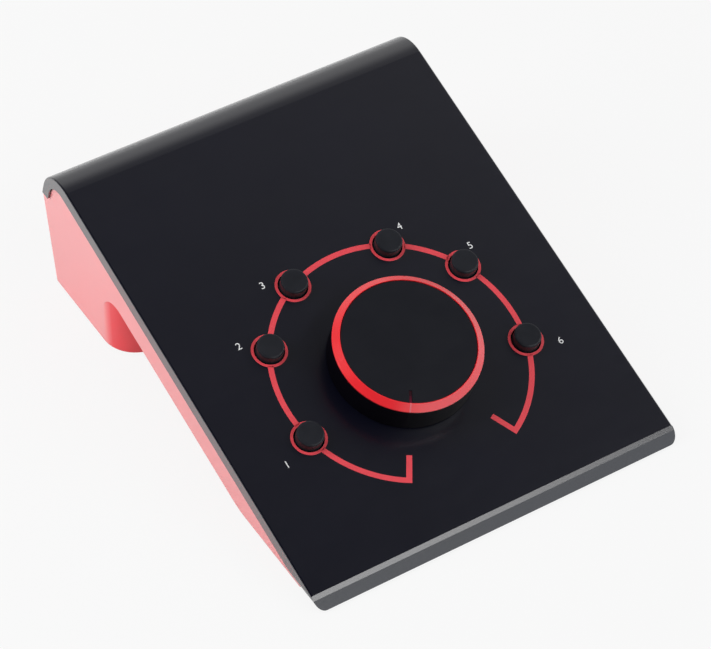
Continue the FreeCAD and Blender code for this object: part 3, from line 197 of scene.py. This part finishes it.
def make_handling_marks():
    """Faint prints and wiped streaks that change only how shiny a surface is."""
    tree, given, result = new_group(
        "handling_marks", {"Base": 0.4, "Amount": 0.1, "Scale": 60.0}, {"Roughness": "Float"})
    where = add(tree, "ShaderNodeTexCoord").outputs["Object"]
    streak = add(tree, "ShaderNodeMapping", {"Vector": where, "Rotation": (0.0, 0.0, 0.6),
                                             "Scale": (1.0, 5.0, 1.0)}).outputs[0]
    prints = noise(tree, given["Scale"], detail=5.0, roughness=0.62, where=where)
    wiped = noise(tree, given["Scale"], detail=3.0, roughness=0.5, where=streak)
    both = maths(tree, "ADD", prints, wiped)
    level = remap(tree, both, low=0.75, high=1.25, new_low=-1.0, new_high=1.0)
    shift = maths(tree, "MULTIPLY", level, given["Amount"])
    tree.links.new(maths(tree, "ADD", shift, given["Base"], clamp=True), result["Roughness"])
    return tree


FILM_SCALE = 120.0


def make_settled_dust():
    """Specks and a thin film of dust on faces that look up."""
    tree, given, result = new_group(
        "settled_dust", {"Amount": 0.1, "Speck Scale": 2500.0}, {"Mask": "Float"})
    facing = add(tree, "ShaderNodeSeparateXYZ",
                 {0: add(tree, "ShaderNodeNewGeometry").outputs["Normal"]}).outputs["Z"]
    upward = remap(tree, facing, low=0.2, high=0.9)
    grit = noise(tree, given["Speck Scale"], detail=2.0, roughness=0.7)
    specks = remap(tree, grit, low=0.66, high=0.74)
    haze = noise(tree, FILM_SCALE, detail=4.0, roughness=0.6)
    film = remap(tree, haze, low=0.3, high=0.8, new_low=0.0, new_high=0.35)
    dust = maths(tree, "MULTIPLY", maths(tree, "ADD", specks, film), upward)
    tree.links.new(maths(tree, "MULTIPLY", dust, given["Amount"], clamp=True), result["Mask"])
    return tree


def make_ridges():
    """Even ridges along one direction: screw threads, or the wires of a flat cable."""
    tree, given, result = new_group(
        "ridges", {"Direction": (0.0, 0.0, 1.0), "Pitch": 0.001}, {"Height": "Float"})
    where = add(tree, "ShaderNodeTexCoord").outputs["Object"]
    along = add(tree, "ShaderNodeVectorMath", {0: where, 1: given["Direction"]},
                operation="DOT_PRODUCT").outputs["Value"]
    turns = maths(tree, "DIVIDE", along, given["Pitch"])
    wave = maths(tree, "SINE", maths(tree, "MULTIPLY", turns, 2 * math.pi))
    tree.links.new(remap(tree, wave, low=-1.0, high=1.0), result["Height"])
    return tree


edge_wear = make_edge_wear()
fine_grain = make_fine_grain()
tone_drift = make_tone_drift()
handling_marks = make_handling_marks()
settled_dust = make_settled_dust()
ridges = make_ridges()


# ---------------------------------------------------------------- finishes
def surface(name, colour, roughness, height=None, depth=0.02 * MM, strength=0.5, **constants):
    """A material around one shader. Constants stay on the shader's own sockets."""
    material = bpy.data.materials.new(name)
    material.use_nodes = True
    tree = material.node_tree
    shader = next(node for node in tree.nodes if node.type == "BSDF_PRINCIPLED")
    for label, value in constants.items():
        shader.inputs[label.replace("_", " ")].default_value = value
    tree.links.new(colour(tree), shader.inputs["Base Color"])
    tree.links.new(roughness(tree), shader.inputs["Roughness"])
    if height:
        bump = add(tree, "ShaderNodeBump", {"Strength": strength, "Distance": depth,
                                            "Height": height(tree)})
        tree.links.new(bump.outputs[0], shader.inputs["Normal"])
    return material


def worn_paint(base, bare, drift=0.1, drift_scale=40.0, reach=0.5 * MM, wear=0.4, dust=0.06):
    """Paint or coloured plastic with drifting tone, rubbed edges and a little dust."""
    def colour(tree):
        toned = use(tree, tone_drift, Colour=base, Scale=drift_scale, Amount=drift)["Colour"]
        rubbed = use(tree, edge_wear, Reach=reach, Amount=wear)["Mask"]
        worn = mix_colour(tree, rubbed, toned, bare)
        dusty = use(tree, settled_dust, Amount=dust)["Mask"]
        return mix_colour(tree, dusty, worn, DUST)
    return colour


def handled(base, amount=0.08, scale=60.0):
    return lambda tree: use(tree, handling_marks, Base=base, Amount=amount,
                            Scale=scale)["Roughness"]


def grained(scale, waviness=0.3):
    return lambda tree: use(tree, fine_grain, Scale=scale, Waviness=waviness)["Height"]


def ridged(direction, pitch):
    return lambda tree: use(tree, ridges, Direction=tuple(direction), Pitch=pitch)["Height"]


DUST = linear(190, 186, 178)

cover_paint = surface(
    "cover_paint",
    worn_paint((0.0034, 0.0036, 0.0105, 1), linear(40, 41, 46), drift=0.08, drift_scale=25.0,
               reach=0.3 * MM, wear=0.2, dust=0.004),
    handled(0.295, amount=0.012), grained(2600.0, waviness=0.1), depth=0.01 * MM, strength=0.1,
    IOR=1.6, Coat_Weight=1.0, Coat_IOR=1.6, Coat_Roughness=0.19)


HOUSING_RED = (0.95, 0.012, 0.028, 1)
# The pale red of a painted sheen, a painted reflection of the pale floor on faces seen at a low
# angle.
SHEEN_RED_PAINTED = (0.95, 0.28, 0.29, 1)
# How far a face turns from the eye, 0 to 1, where the painted sheen starts and where it is full.
SHEEN_FROM = 0.48
SHEEN_FULL = 0.66


def bloomed_red(tree):
    """Red plastic with a painted sheen: paler red is painted where a face is seen at a low angle,
    as a painted reflection of the pale floor.
    """
    painted = worn_paint(HOUSING_RED, linear(240, 120, 122), drift=0.03, drift_scale=35.0,
                         reach=0.4 * MM, wear=0.2, dust=0.006)(tree)
    turned = add(tree, "ShaderNodeLayerWeight", {"Blend": 0.5}).outputs["Facing"]
    # Painted sheen: the red turns paler as the face turns from the eye.
    painted_sheen = remap(tree, turned, low=SHEEN_FROM, high=SHEEN_FULL)
    return mix_colour(tree, painted_sheen, painted, SHEEN_RED_PAINTED)


# The housing's red carries a painted sheen on faces seen at a low angle.
housing_plastic = surface(
    "housing_plastic", bloomed_red,
    handled(0.30, amount=0.015), grained(2200.0, waviness=0.02), depth=0.006 * MM, strength=0.08,
    IOR=1.55, Coat_Weight=1.0, Coat_IOR=1.55, Coat_Roughness=0.2)
knob_plastic = surface(
    "knob_plastic",
    worn_paint((0.0022, 0.0018, 0.0036, 1), linear(40, 40, 42), drift=0.12, drift_scale=90.0,
               reach=0.4 * MM, wear=0.25, dust=0.01),
    handled(0.5, amount=0.03, scale=90.0), grained(3200.0), depth=0.01 * MM, strength=0.3,
    Specular_IOR_Level=0.08)
knob_face = surface(
    "knob_face",
    worn_paint((0.0080, 0.0086, 0.0130, 1), linear(60, 61, 64), drift=0.06, drift_scale=60.0,
               reach=0.3 * MM, wear=0.2, dust=0.01),
    handled(0.32, amount=0.012, scale=80.0), grained(3000.0, waviness=0.1), depth=0.008 * MM,
    strength=0.15)


# The pointer on the knob: its angle on the panel, and the tab's reach from the knob's axis.
POINTER_ANGLE = -120
TAB_TIP = 19.6 * MM
TAB_REACH = 22.7 * MM
TAB_SIDE = 0.5 * MM
SCRIBE_WIDTH = 0.34 * MM


def make_ring_anodised():
    """Red anodised ring with a fine groove across it, painted along that line as a paler red
    highlight; its pointer tab is painted dark red as shade, darkest at its inner end.
    """
    turn = math.radians(POINTER_ANGLE)
    pointing = math.cos(turn) * panel_across + math.sin(turn) * panel_up
    beside = panel_out.cross(pointing)

    def distance_along(tree, direction):
        where = add(tree, "ShaderNodeTexCoord").outputs["Object"]
        arm = add(tree, "ShaderNodeVectorMath", {0: where, 1: tuple(knob_joint["pos_m"])},
                  operation="SUBTRACT").outputs[0]
        return add(tree, "ShaderNodeVectorMath", {0: arm, 1: tuple(direction)},
                   operation="DOT_PRODUCT").outputs["Value"]

    def colour(tree):
        toned = use(tree, tone_drift, Colour=(0.96, 0.030, 0.040, 1), Scale=120.0,
                    Amount=0.04)["Colour"]
        rubbed = use(tree, edge_wear, Reach=0.2 * MM, Amount=0.2)["Mask"]
        worn = mix_colour(tree, rubbed, toned, linear(248, 150, 150))
        reach = distance_along(tree, pointing)
        offset = maths(tree, "ABSOLUTE", distance_along(tree, beside))
        # Painted highlight: a paler red line along the groove on the pointer's line.
        near = remap(tree, offset, low=SCRIBE_WIDTH, high=SCRIBE_WIDTH * 0.4)
        ahead = remap(tree, reach, low=0.0, high=1.0 * MM)
        groove_with_painted_highlight = mix_colour(tree, maths(tree, "MULTIPLY", near, ahead), worn,
                             (0.82, 0.13, 0.15, 1))
        # Painted shade: the sunken pointer tab is coloured dark red, darkest at its inner end.
        on_tab = remap(tree, reach, low=TAB_REACH, high=TAB_REACH - 0.2 * MM)
        slim = remap(tree, offset, low=TAB_SIDE + 0.1 * MM, high=TAB_SIDE)
        painted_shade_mask = maths(tree, "MULTIPLY", maths(tree, "MULTIPLY", on_tab, slim), ahead)
        tab_shade_colour = mix_colour(tree, remap(tree, reach, low=TAB_TIP, high=TAB_REACH),
                          (0.035, 0.003, 0.010, 1), (0.20, 0.004, 0.036, 1))
        return mix_colour(tree, painted_shade_mask, groove_with_painted_highlight, tab_shade_colour)
    return surface("ring_anodised", colour, handled(0.24, amount=0.03, scale=120.0),
                   grained(5000.0, waviness=0.1), depth=0.005 * MM, strength=0.2,
                   Coat_Weight=1.0, Coat_IOR=1.6, Coat_Roughness=0.14)


ring_anodised = make_ring_anodised()
button_rubber = surface(
    "button_rubber",
    worn_paint((0.0185, 0.0197, 0.0245, 1), linear(72, 73, 76), drift=0.1, drift_scale=200.0,
               reach=0.3 * MM, wear=0.3, dust=0.01),
    handled(0.32, amount=0.03, scale=200.0), grained(4200.0), depth=0.01 * MM, strength=0.3,
    Specular_IOR_Level=0.22)
foot_rubber = surface(
    "foot_rubber",
    worn_paint((0.022, 0.022, 0.022, 1), linear(92, 90, 88), drift=0.15, drift_scale=150.0,
               reach=0.5 * MM, wear=0.5, dust=0.1),
    handled(0.72, amount=0.08, scale=150.0), grained(1800.0, waviness=0.6), depth=0.03 * MM,
    strength=0.5)
print_red = surface(
    "print_red",
    worn_paint(linear(241, 78, 88), linear(150, 60, 64), drift=0.04, drift_scale=300.0,
               reach=0.1 * MM, wear=0.2, dust=0.02),
    handled(0.45, amount=0.05, scale=200.0), grained(6000.0), depth=0.005 * MM, strength=0.3)
print_white = surface(
    "print_white",
    worn_paint(linear(236, 236, 236), linear(170, 170, 170), drift=0.04, drift_scale=300.0,
               reach=0.1 * MM, wear=0.2, dust=0.02),
    handled(0.5, amount=0.05, scale=200.0), grained(6000.0), depth=0.005 * MM, strength=0.3)
screw_steel = surface(
    "screw_steel",
    worn_paint((0.05, 0.05, 0.053, 1), linear(170, 168, 164), drift=0.15, drift_scale=500.0,
               reach=0.2 * MM, wear=0.7, dust=0.02),
    handled(0.38, amount=0.09, scale=400.0), grained(5000.0), depth=0.008 * MM, strength=0.3,
    Metallic=1.0)
plated_steel = surface(
    "plated_steel",
    worn_paint(linear(196, 196, 192), linear(232, 230, 224), drift=0.06, drift_scale=300.0,
               reach=0.2 * MM, wear=0.5, dust=0.02),
    handled(0.22, amount=0.045, scale=300.0), grained(5000.0), depth=0.008 * MM, strength=0.3,
    Metallic=1.0)
spindle_metal = surface(
    "spindle_metal",
    worn_paint(linear(200, 200, 198), linear(235, 235, 232), drift=0.06, drift_scale=300.0,
               reach=0.2 * MM, wear=0.4, dust=0.01),
    handled(0.21, amount=0.05, scale=300.0), ridged(panel_out, 0.5 * MM), depth=0.1 * MM,
    strength=0.6, Metallic=1.0)
tinned_copper = surface(
    "tinned_copper",
    worn_paint(linear(206, 200, 188), linear(222, 190, 150), drift=0.08, drift_scale=600.0,
               reach=0.1 * MM, wear=0.4, dust=0.01),
    handled(0.36, amount=0.08, scale=600.0), grained(5000.0), depth=0.008 * MM, strength=0.3,
    Metallic=1.0)
socket_plastic = surface(
    "socket_plastic",
    worn_paint((0.014, 0.014, 0.015, 1), linear(66, 66, 66), drift=0.12, drift_scale=200.0,
               reach=0.3 * MM, wear=0.3, dust=0.03),
    handled(0.42, amount=0.07, scale=200.0), grained(3500.0), depth=0.012 * MM, strength=0.35)
plunger_plastic = surface(
    "plunger_plastic",
    worn_paint(linear(226, 224, 216), linear(240, 238, 232), drift=0.05, drift_scale=300.0,
               reach=0.2 * MM, wear=0.2, dust=0.03),
    handled(0.4, amount=0.06, scale=200.0), grained(4000.0), depth=0.01 * MM, strength=0.3)
switch_plastic = surface(
    "switch_plastic",
    worn_paint(linear(96, 98, 102), linear(136, 136, 138), drift=0.08, drift_scale=250.0,
               reach=0.2 * MM, wear=0.2, dust=0.04),
    handled(0.45, amount=0.06, scale=200.0), grained(4000.0), depth=0.01 * MM, strength=0.3)
cable_grey = surface(
    "cable_grey",
    worn_paint(linear(150, 151, 152), linear(176, 176, 174), drift=0.06, drift_scale=250.0,
               reach=0.2 * MM, wear=0.2, dust=0.04),
    handled(0.42, amount=0.06, scale=200.0), ridged(panel_across, 1.27 * MM), depth=0.3 * MM,
    strength=0.8)
phono_plating = surface(
    "phono_plating",
    worn_paint(linear(208, 206, 200), linear(236, 232, 222), drift=0.05, drift_scale=300.0,
               reach=0.2 * MM, wear=0.4, dust=0.02),
    handled(0.2, amount=0.06, scale=300.0), grained(5000.0), depth=0.006 * MM, strength=0.25,
    Metallic=1.0)
bush_red = surface(
    "bush_red",
    worn_paint(linear(190, 26, 30), linear(222, 92, 88), drift=0.06, drift_scale=300.0,
               reach=0.2 * MM, wear=0.25, dust=0.03),
    handled(0.35, amount=0.06, scale=250.0), grained(4000.0), depth=0.01 * MM, strength=0.3)
bush_white = surface(
    "bush_white",
    worn_paint(linear(228, 227, 222), linear(244, 243, 240), drift=0.05, drift_scale=300.0,
               reach=0.2 * MM, wear=0.25, dust=0.03),
    handled(0.35, amount=0.06, scale=250.0), grained(4000.0), depth=0.01 * MM, strength=0.3)


def make_board_green():
    """Solder mask over copper tracks, which stand a hair above the board."""
    def tracks(tree):
        where = add(tree, "ShaderNodeTexCoord").outputs["Object"]
        brick = add(tree, "ShaderNodeTexBrick",
                    {"Vector": where, "Scale": 1.0, "Mortar Size": 0.00035, "Brick Width": 0.009,
                     "Row Height": 0.0035, "Color1": (0, 0, 0, 1), "Color2": (0, 0, 0, 1),
                     "Mortar": (1, 1, 1, 1)}, offset=0.37, squash=1.0)
        return brick.outputs["Color"]

    def colour(tree):
        laid = mix_colour(tree, tracks(tree), linear(16, 72, 40), linear(44, 118, 66))
        toned = use(tree, tone_drift, Colour=laid, Scale=200.0, Amount=0.08)["Colour"]
        rubbed = use(tree, edge_wear, Reach=0.3 * MM, Amount=0.5)["Mask"]
        return mix_colour(tree, rubbed, toned, linear(170, 160, 110))
    return surface("board_green", colour, handled(0.34, amount=0.06, scale=200.0), tracks,
                   depth=0.04 * MM, strength=0.6)


board_green = make_board_green()


# ---------------------------------------------------------------- every CAD part's finish
CONTROLS = ("mute", "input_select", "channel_swap", "output_a", "output_b", "mono")
PAIRS = ("second", "main", "input")
FINISHES = {
    cover_paint: ["top_cover"],
    housing_plastic: ["lower_housing"],
    screw_steel: ["housing_screws", "main_board_screws"],
    foot_rubber: [f"foot_{end}_{side}" for end in ("front", "rear") for side in ("left", "right")],
    knob_plastic: ["knob_body"],
    knob_face: ["knob_cap"],
    ring_anodised: ["knob_ring"],
    spindle_metal: ["pot_shaft", "pot_bushing"],
    plated_steel: ["pot_case", "pot_washer", "pot_nut", "jack_nuts", "jack_washers"],
    tinned_copper: ["pot_terminals"],
    board_green: ["main_board", "jack_board"],
    button_rubber: [f"button_{name}" for name in CONTROLS],
    plunger_plastic: [f"plunger_{name}" for name in CONTROLS],
    switch_plastic: [f"switch_{name}" for name in CONTROLS],
    socket_plastic: [f"jack_{pair}_{side}" for pair in PAIRS for side in ("left", "right")]
    + ["phono_case", "ribbon_header_main", "ribbon_header_jack"],
    phono_plating: ["phono_shells"],
    bush_red: ["phono_bush_upper"],
    bush_white: ["phono_bush_lower"],
    cable_grey: ["ribbon_cable"],
}


def dress_parts():
    for material, names in FINISHES.items():
        for name in names:
            part = frame["nodes"][name]
            for slot in part.material_slots:
                slot.material = material
    bare = set(frame["nodes"]) - {name for names in FINISHES.values() for name in names}
    if bare:
        raise ValueError(f"no finish for {sorted(bare)}")


dress_parts()


# ---------------------------------------------------------------- printed marks
INK_SUNK = 0.01 * MM
INK_PROUD = 0.02 * MM
SCALE_RADIUS = 43.8 * MM
SCALE_WIDTH = 1.9 * MM
HOOK_INNER = 34.8 * MM
RING_INNER = 5.2 * MM
RING_OUTER = 6.15 * MM
BUTTON_ANGLES = {"mono": -15, "output_b": 30, "output_a": 65, "channel_swap": 115,
                 "input_select": 150, "mute": 195}
SCALE_START = -61.6
SCALE_START_HOOK = SCALE_START
SCALE_END = 242.0
SCALE_END_HOOK = 242.9
ARC_STEP = 1.0
RING_SIDES = 96


def polar(radius, degrees, centre=(0.0, KNOB_FROM_FRONT)):
    turn = math.radians(degrees)
    return (centre[0] + radius * math.cos(turn), centre[1] + radius * math.sin(turn))


def lay_ink(mesh, outline):
    """A closed flat patch of ink, a hair thick, on the panel."""
    low = [mesh.verts.new(on_panel(*point, -INK_SUNK)) for point in outline]
    high = [mesh.verts.new(on_panel(*point, INK_PROUD)) for point in outline]
    mesh.faces.new(high)
    mesh.faces.new(reversed(low))
    count = len(outline)
    for this in range(count):
        following = (this + 1) % count
        mesh.faces.new((low[this], low[following], high[following], high[this]))


def lay_ring(mesh, centre, inner, outer):
    """A closed flat ring of ink."""
    loops = []
    for radius, above in ((inner, INK_PROUD), (outer, INK_PROUD),
                          (outer, -INK_SUNK), (inner, -INK_SUNK)):
        loops.append([mesh.verts.new(on_panel(*polar(radius, 360 * k / RING_SIDES, centre), above))
                      for k in range(RING_SIDES)])
    for first, second in zip(loops, loops[1:] + loops[:1]):
        for k in range(RING_SIDES):
            after = (k + 1) % RING_SIDES
            mesh.faces.new((first[k], second[k], second[after], first[after]))


def finish_piece(name, mesh, material, body="chassis"):
    bmesh.ops.recalc_face_normals(mesh, faces=mesh.faces)
    data = bpy.data.meshes.new(name)
    mesh.to_mesh(data)
    mesh.free()
    data.materials.append(material)
    piece = bpy.data.objects.new(name, data)
    bpy.context.collection.objects.link(piece)
    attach(piece, body)
    return piece


def hook_corners(end, inward, side):
    """The free end of the scale: its outer corner, then the hook's two inner corners."""
    half = math.degrees(SCALE_WIDTH / 2 / SCALE_RADIUS)
    outer, bend = SCALE_RADIUS + SCALE_WIDTH / 2, SCALE_RADIUS - SCALE_WIDTH / 2
    spread = math.degrees(SCALE_WIDTH / 2 / HOOK_INNER)
    return [polar(outer, end + side * half), polar(HOOK_INNER, inward + side * spread),
            polar(HOOK_INNER, inward - side * spread), polar(bend, end - side * half)]


def make_scale():
    """The red line round the knob, broken by the buttons, with a hook at each end."""
    mesh = bmesh.new()
    gap = math.degrees(2 * math.asin((RING_INNER + RING_OUTER) / 4 / SCALE_RADIUS))
    half = math.degrees(SCALE_WIDTH / 2 / SCALE_RADIUS)
    stops = [SCALE_START + half]
    for angle in sorted(BUTTON_ANGLES.values()):
        stops += [angle - gap, angle + gap]
    stops.append(SCALE_END - half)
    inner, outer = SCALE_RADIUS - SCALE_WIDTH / 2, SCALE_RADIUS + SCALE_WIDTH / 2
    runs = list(zip(stops[::2], stops[1::2]))
    for start, end in runs:
        steps = max(2, round((end - start) / ARC_STEP))
        angles = [start + (end - start) * k / steps for k in range(steps + 1)]
        rim = [polar(outer, angle) for angle in angles]
        back = [polar(inner, angle) for angle in reversed(angles)]
        if end == runs[-1][1]:
            rim += hook_corners(SCALE_END, SCALE_END_HOOK, 1)
            back = back[1:]
        if start == runs[0][0]:
            back = back[:-1] + hook_corners(SCALE_START, SCALE_START_HOOK, -1)[::-1]
        lay_ink(mesh, rim + back)
    for angle in BUTTON_ANGLES.values():
        lay_ring(mesh, polar(SCALE_RADIUS, angle), RING_INNER, RING_OUTER)
    finish_piece("scale_print", mesh, print_red)


DIGIT_HEIGHT = 2.6 * MM
WELD = 0.001 * MM
DIGIT_PLACES = ((-53.6, 43.2), (-46.3, 87.3), (-27.8, 103.8), (26.1, 104.0), (44.3, 87.4),
                (52.9, 43.1))


def make_digits():
    """Plain numbers beside the buttons, counted round the knob from the lower left."""
    for number, (across, up) in enumerate(DIGIT_PLACES, start=1):
        text = bpy.data.curves.new(f"digit_text_{number}", "FONT")
        text.body = str(number)
        text.align_x = "CENTER"
        text.align_y = "CENTER"
        text.size = DIGIT_HEIGHT / 0.7
        text.extrude = (INK_PROUD + INK_SUNK) / 2
        holder = bpy.data.objects.new(f"digit_holder_{number}", text)
        bpy.context.collection.objects.link(holder)
        bpy.context.view_layer.update()
        drawn = bpy.data.meshes.new_from_object(holder)
        mesh = bmesh.new()
        mesh.from_mesh(drawn)
        bmesh.ops.remove_doubles(mesh, verts=mesh.verts, dist=WELD)
        lift = (INK_PROUD - INK_SUNK) / 2
        for vert in mesh.verts:
            vert.co = on_panel(across * MM + vert.co.x, up * MM + vert.co.y, lift + vert.co.z)
        bpy.data.objects.remove(holder)
        finish_piece(f"digit_{number}", mesh, print_white)


make_scale()
make_digits()


# ---------------------------------------------------------------- studio
FLOOR_RADIUS = 9.0
FLOOR_GLOW = 0.955
FLOOR_SIDES = 64
FLOOR_SHOWN = 0.92
FLOOR_MIRRORED = 0.2
# The sky's level by height, as the sine of the angle above the horizon.
SKY_REAR = ((0.0, 0.85), (0.2, 0.55), (0.4, 0.58), (0.63, 0.66), (0.72, 0.52), (0.79, 0.37),
            (0.84, 0.25), (0.9, 0.14), (0.95, 0.09), (1.0, 0.04))
SKY_FRONT = ((0.0, 0.95), (0.55, 0.95), (0.58, 0.06), (0.9, 0.02), (1.0, 0.02))
SKY_FRONT_TINT = (0.95, 1.0, 1.06)
SKY_TURN = (0.0, 0.15)
# How much of that level the left side keeps.
SKY_LEFT = (-0.45, 0.1, 0.06, 1.0)
# Each lamp's width and height, radiance, distance, direction, and whether gloss shows it.
LAMPS = {
    "key_softbox": (1.5, 0.21, 4.4, 1.1, (0.415, -0.5785, 0.702), True),
    "left_fill": (0.7, 0.7, 4.7, 1.1, (-0.82, 0.34, 0.46), False),
    "top_fill": (0.7, 0.7, 2.3, 1.1, (-0.40, 0.30, 0.87), False),
}


def make_floor():
    """A white floor that keeps a soft shadow, and that gloss sees as white too."""
    material = bpy.data.materials.new("floor_white")
    material.use_nodes = True
    tree = material.node_tree
    tree.nodes.clear()
    base = use(tree, tone_drift, Colour=(0.9, 0.9, 0.9, 1.0), Scale=2.0, Amount=0.01)["Colour"]
    card = add(tree, "ShaderNodeBsdfDiffuse", {"Color": base})
    glow = add(tree, "ShaderNodeEmission", {"Color": (1, 1, 1, 1), "Strength": FLOOR_GLOW})
    path = add(tree, "ShaderNodeLightPath").outputs
    mirrored = maths(tree, "MAXIMUM", path["Is Glossy Ray"], path["Is Transmission Ray"])
    share = maths(tree, "MAXIMUM",
                  maths(tree, "MULTIPLY", path["Is Camera Ray"], FLOOR_SHOWN),
                  maths(tree, "MULTIPLY", mirrored, FLOOR_MIRRORED))
    both = add(tree, "ShaderNodeMixShader", {0: share, 1: card.outputs[0], 2: glow.outputs[0]})
    add(tree, "ShaderNodeOutputMaterial", {"Surface": both.outputs[0]})
    mesh = bmesh.new()
    bmesh.ops.create_circle(mesh, cap_ends=True, segments=FLOOR_SIDES, radius=FLOOR_RADIUS)
    data = bpy.data.meshes.new("floor")
    mesh.to_mesh(data)
    mesh.free()
    data.materials.append(material)
    floor = bpy.data.objects.new("floor", data)
    floor.location.z = cad_box[0][2]
    bpy.context.collection.objects.link(floor)


def make_world():
    """A pale horizon under a dark ceiling, with the left side of the room kept dim."""
    world = bpy.data.worlds.new("studio_world")
    world.use_nodes = True
    tree = world.node_tree
    tree.nodes.clear()
    ray = add(tree, "ShaderNodeTexCoord").outputs["Generated"]
    parts = add(tree, "ShaderNodeSeparateXYZ", {0: ray}).outputs

    def sky_level(levels, tint=(1, 1, 1)):
        ramp = add(tree, "ShaderNodeValToRGB", {"Fac": parts["Z"]})
        stops = ramp.color_ramp.elements
        stops.remove(stops[-1])
        for count, (place, level) in enumerate(levels):
            stop = stops.new(place) if count else stops[0]
            stop.position = place
            stop.color = (*(level * part for part in tint), 1)
        return ramp.outputs[0]

    turned = remap(tree, parts["Y"], *SKY_TURN)
    level = mix_colour(tree, turned, sky_level(SKY_FRONT, SKY_FRONT_TINT), sky_level(SKY_REAR))
    kept = remap(tree, parts["X"], *SKY_LEFT)
    sky = add(tree, "ShaderNodeBackground", {"Color": level, "Strength": kept})
    add(tree, "ShaderNodeOutputWorld", {"Surface": sky.outputs[0]})
    bpy.context.scene.world = world


def make_lamps():
    """A wide soft box in front, and fills from the left and from above."""
    centre = (Vector(cad_box[0]) + Vector(cad_box[1])) / 2
    for name, (width, height, radiance, distance, direction, glares) in LAMPS.items():
        light = bpy.data.lights.new(name, "AREA")
        light.shape = "RECTANGLE"
        light.size = width
        light.size_y = height
        light.energy = radiance * math.pi * width * height
        lamp = bpy.data.objects.new(name, light)
        lamp.visible_glossy = glares
        away = Vector(direction).normalized()
        lamp.matrix_world = (Matrix.Translation(centre + away * distance)
                             @ away.to_track_quat("Z", "Y").to_matrix().to_4x4())
        bpy.context.collection.objects.link(lamp)


# The camera's place is given along its own axes from the middle of the panel's front edge.
CAMERA_AZIMUTH = math.radians(-33.623)
CAMERA_ELEVATION = math.radians(45.906)
CAMERA_ROLL = math.radians(1.772)
CAMERA_LENS = 157.91
FRONT_EDGE_RIGHT = 45.292 * MM
FRONT_EDGE_UP = -59.094 * MM
FRONT_EDGE_DEPTH = 1001.64 * MM


def make_camera():
    back = Vector((math.sin(CAMERA_AZIMUTH) * math.cos(CAMERA_ELEVATION),
                   -math.cos(CAMERA_AZIMUTH) * math.cos(CAMERA_ELEVATION),
                   math.sin(CAMERA_ELEVATION)))
    level_right = Vector((0, 0, 1)).cross(back).normalized()
    level_up = back.cross(level_right)
    right = math.cos(CAMERA_ROLL) * level_right + math.sin(CAMERA_ROLL) * level_up
    up = -math.sin(CAMERA_ROLL) * level_right + math.cos(CAMERA_ROLL) * level_up
    place = (panel_front - FRONT_EDGE_RIGHT * right - FRONT_EDGE_UP * up
             + FRONT_EDGE_DEPTH * back)
    camera_data = bpy.data.cameras.new("camera")
    camera_data.lens = CAMERA_LENS
    camera_data.sensor_width = 36
    camera_data.clip_end = 50
    camera = bpy.data.objects.new("camera", camera_data)
    turned = Matrix((right, up, back)).transposed().to_4x4()
    camera.matrix_world = Matrix.Translation(place) @ turned
    bpy.context.collection.objects.link(camera)
    bpy.context.scene.camera = camera


make_floor()
make_world()
make_lamps()
make_camera()
bpy.context.scene.view_settings.view_transform = "Standard"
